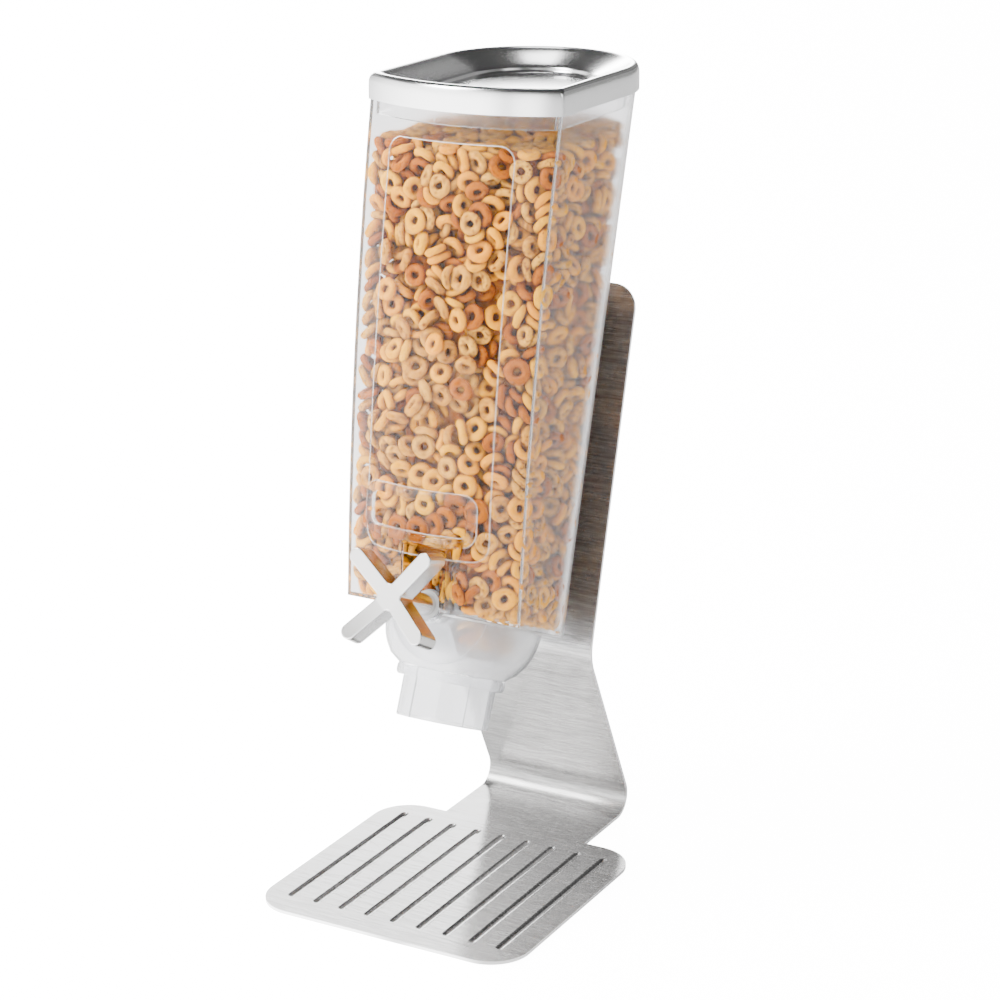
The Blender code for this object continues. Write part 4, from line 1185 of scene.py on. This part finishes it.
def make_floor():
    """A pale floor: white where the camera sees it, softer as a light on the object."""
    nodes = Nodes("studio_floor")
    path = nodes.new("ShaderNodeLightPath")
    place = nodes.new("ShaderNodeTexCoord").outputs["Object"]
    low, _, _ = studio_light(nodes, place)
    through = nodes.math("MULTIPLY_ADD", path.outputs["Is Transmission Ray"], FLOOR_THROUGH, low)
    strength = nodes.math("MULTIPLY_ADD", path.outputs["Is Camera Ray"], FLOOR_WHITE, through)
    nodes.set(colour=(0.85,) * 3, roughness=0.6, specular=0.2, glow_colour=(1.0,) * 3, glow=strength)
    floor = bmesh.new()
    bmesh.ops.create_grid(floor, x_segments=1, y_segments=1, size=30.0)
    add_object("floor", floor, [nodes.owner])


def area_light(name, place, size, power):
    data = bpy.data.lights.new(name, "AREA")
    data.shape = "RECTANGLE"
    data.size, data.size_y = size
    data.energy = power
    item = link_object(name, data)
    item.location = place
    item.rotation_euler = (Vector(LAMP_TARGET) - Vector(place)).to_track_quat("-Z", "Y").to_euler()


def make_world():
    """A studio with a bright wall low down behind on the left, dim overhead."""
    nodes = Nodes("studio", "worlds", "Background")
    bpy.context.scene.world = nodes.owner
    direction = nodes.new("ShaderNodeTexCoord").outputs["Generated"]
    low, compass, height = studio_light(nodes, direction)
    ring = nodes.math("MULTIPLY", low, nodes.ramp(height, LOW_LIGHT))
    wall = nodes.math("MULTIPLY", nodes.ramp(compass, WALL_COMPASS), nodes.ramp(height, WALL_LIGHT))
    lit = nodes.math("MULTIPLY_ADD", wall, WALL_STRENGTH, ring)
    light = nodes.math("ADD", lit, nodes.ramp(height, HIGH_LIGHT))
    path = nodes.new("ShaderNodeLightPath")
    seen = nodes.math("MULTIPLY_ADD", path.outputs["Is Camera Ray"], FLOOR_WHITE, light)
    nodes.feed(nodes.shader.inputs[0], seen)


def dress_cad_nodes(finishes):
    """Carried-over nodes take the procedural material of their slot."""
    slots = {row["node"]: row["material_slot"] for row in frame["record"]["subparts"]}
    for name, item in frame["nodes"].items():
        item.data.materials.clear()
        item.data.materials.append(finishes.get(name, finishes[slots[name]]))


def main():
    make_camera()
    make_floor()
    make_world()
    for lamp in LAMPS:
        area_light(*lamp)
    brushed = brushed_steel()
    polished = plain_metal("polished_steel", 30.0, 2.0, (0.52,) * 3, (0.58,) * 3, (0.16, 0.21))
    nickel = brushed_nickel()
    inner = clear_plastic("clear_plastic_inner", 0.02, 0.0)
    milky = milky_plastic("milky_plastic", 0.93, 0.24)
    dress_cad_nodes({
        "brushed_steel": brushed, "polished_steel": polished, "brushed_nickel": nickel,
        "fastener_steel": plain_metal("fastener_steel", 700.0, 3.0, (0.42, 0.42, 0.42),
                                      (0.56, 0.56, 0.55), (0.28, 0.45), 0.1),
        "clear_plastic": inner, "milky_plastic": milky,
        "nylon": soft_plastic("nylon", (0.44, 0.44, 0.44), 0.45),
        "silicone": soft_plastic("silicone", (0.62, 0.63, 0.64), 0.55),
        "rubber": soft_plastic("rubber", (0.03, 0.03, 0.03), 0.75),
        "wheel_chamber": clear_plastic("milky_plastic_chamber", 0.45, 0.05),
        "lid_plug": clear_plastic("milky_plastic_plug", 0.25, 0.0),
        "lid_gasket": clear_plastic("silicone_gasket", 0.25, 0.03),
    })
    cut_edge = plain_metal("cut_edge_steel", 900.0, 2.0, (0.90,) * 3, (0.90,) * 3, (0.10, 0.18))
    make_stand(brushed, cut_edge)
    edge = clear_plastic("clear_plastic_edge", 0.22, 0.05, (0.94, 0.945, 0.96))
    make_hopper(front_plastic(), side_plastic(), inner, edge)
    make_front_marks(clear_plastic("clear_plastic_line", 0.15, 0.25), inner)
    make_funnel(milky)
    make_spout(milky_plastic("milky_plastic_spout", 0.82, 0.12, 1.35))
    make_knob(nickel)
    make_lid(polished, lid_band_steel())
    kinds = [cereal_material("cereal_" + name, *colours) for name, *colours in CEREAL_KINDS]
    make_cereal(kinds[:-1], kinds[-1])


main()
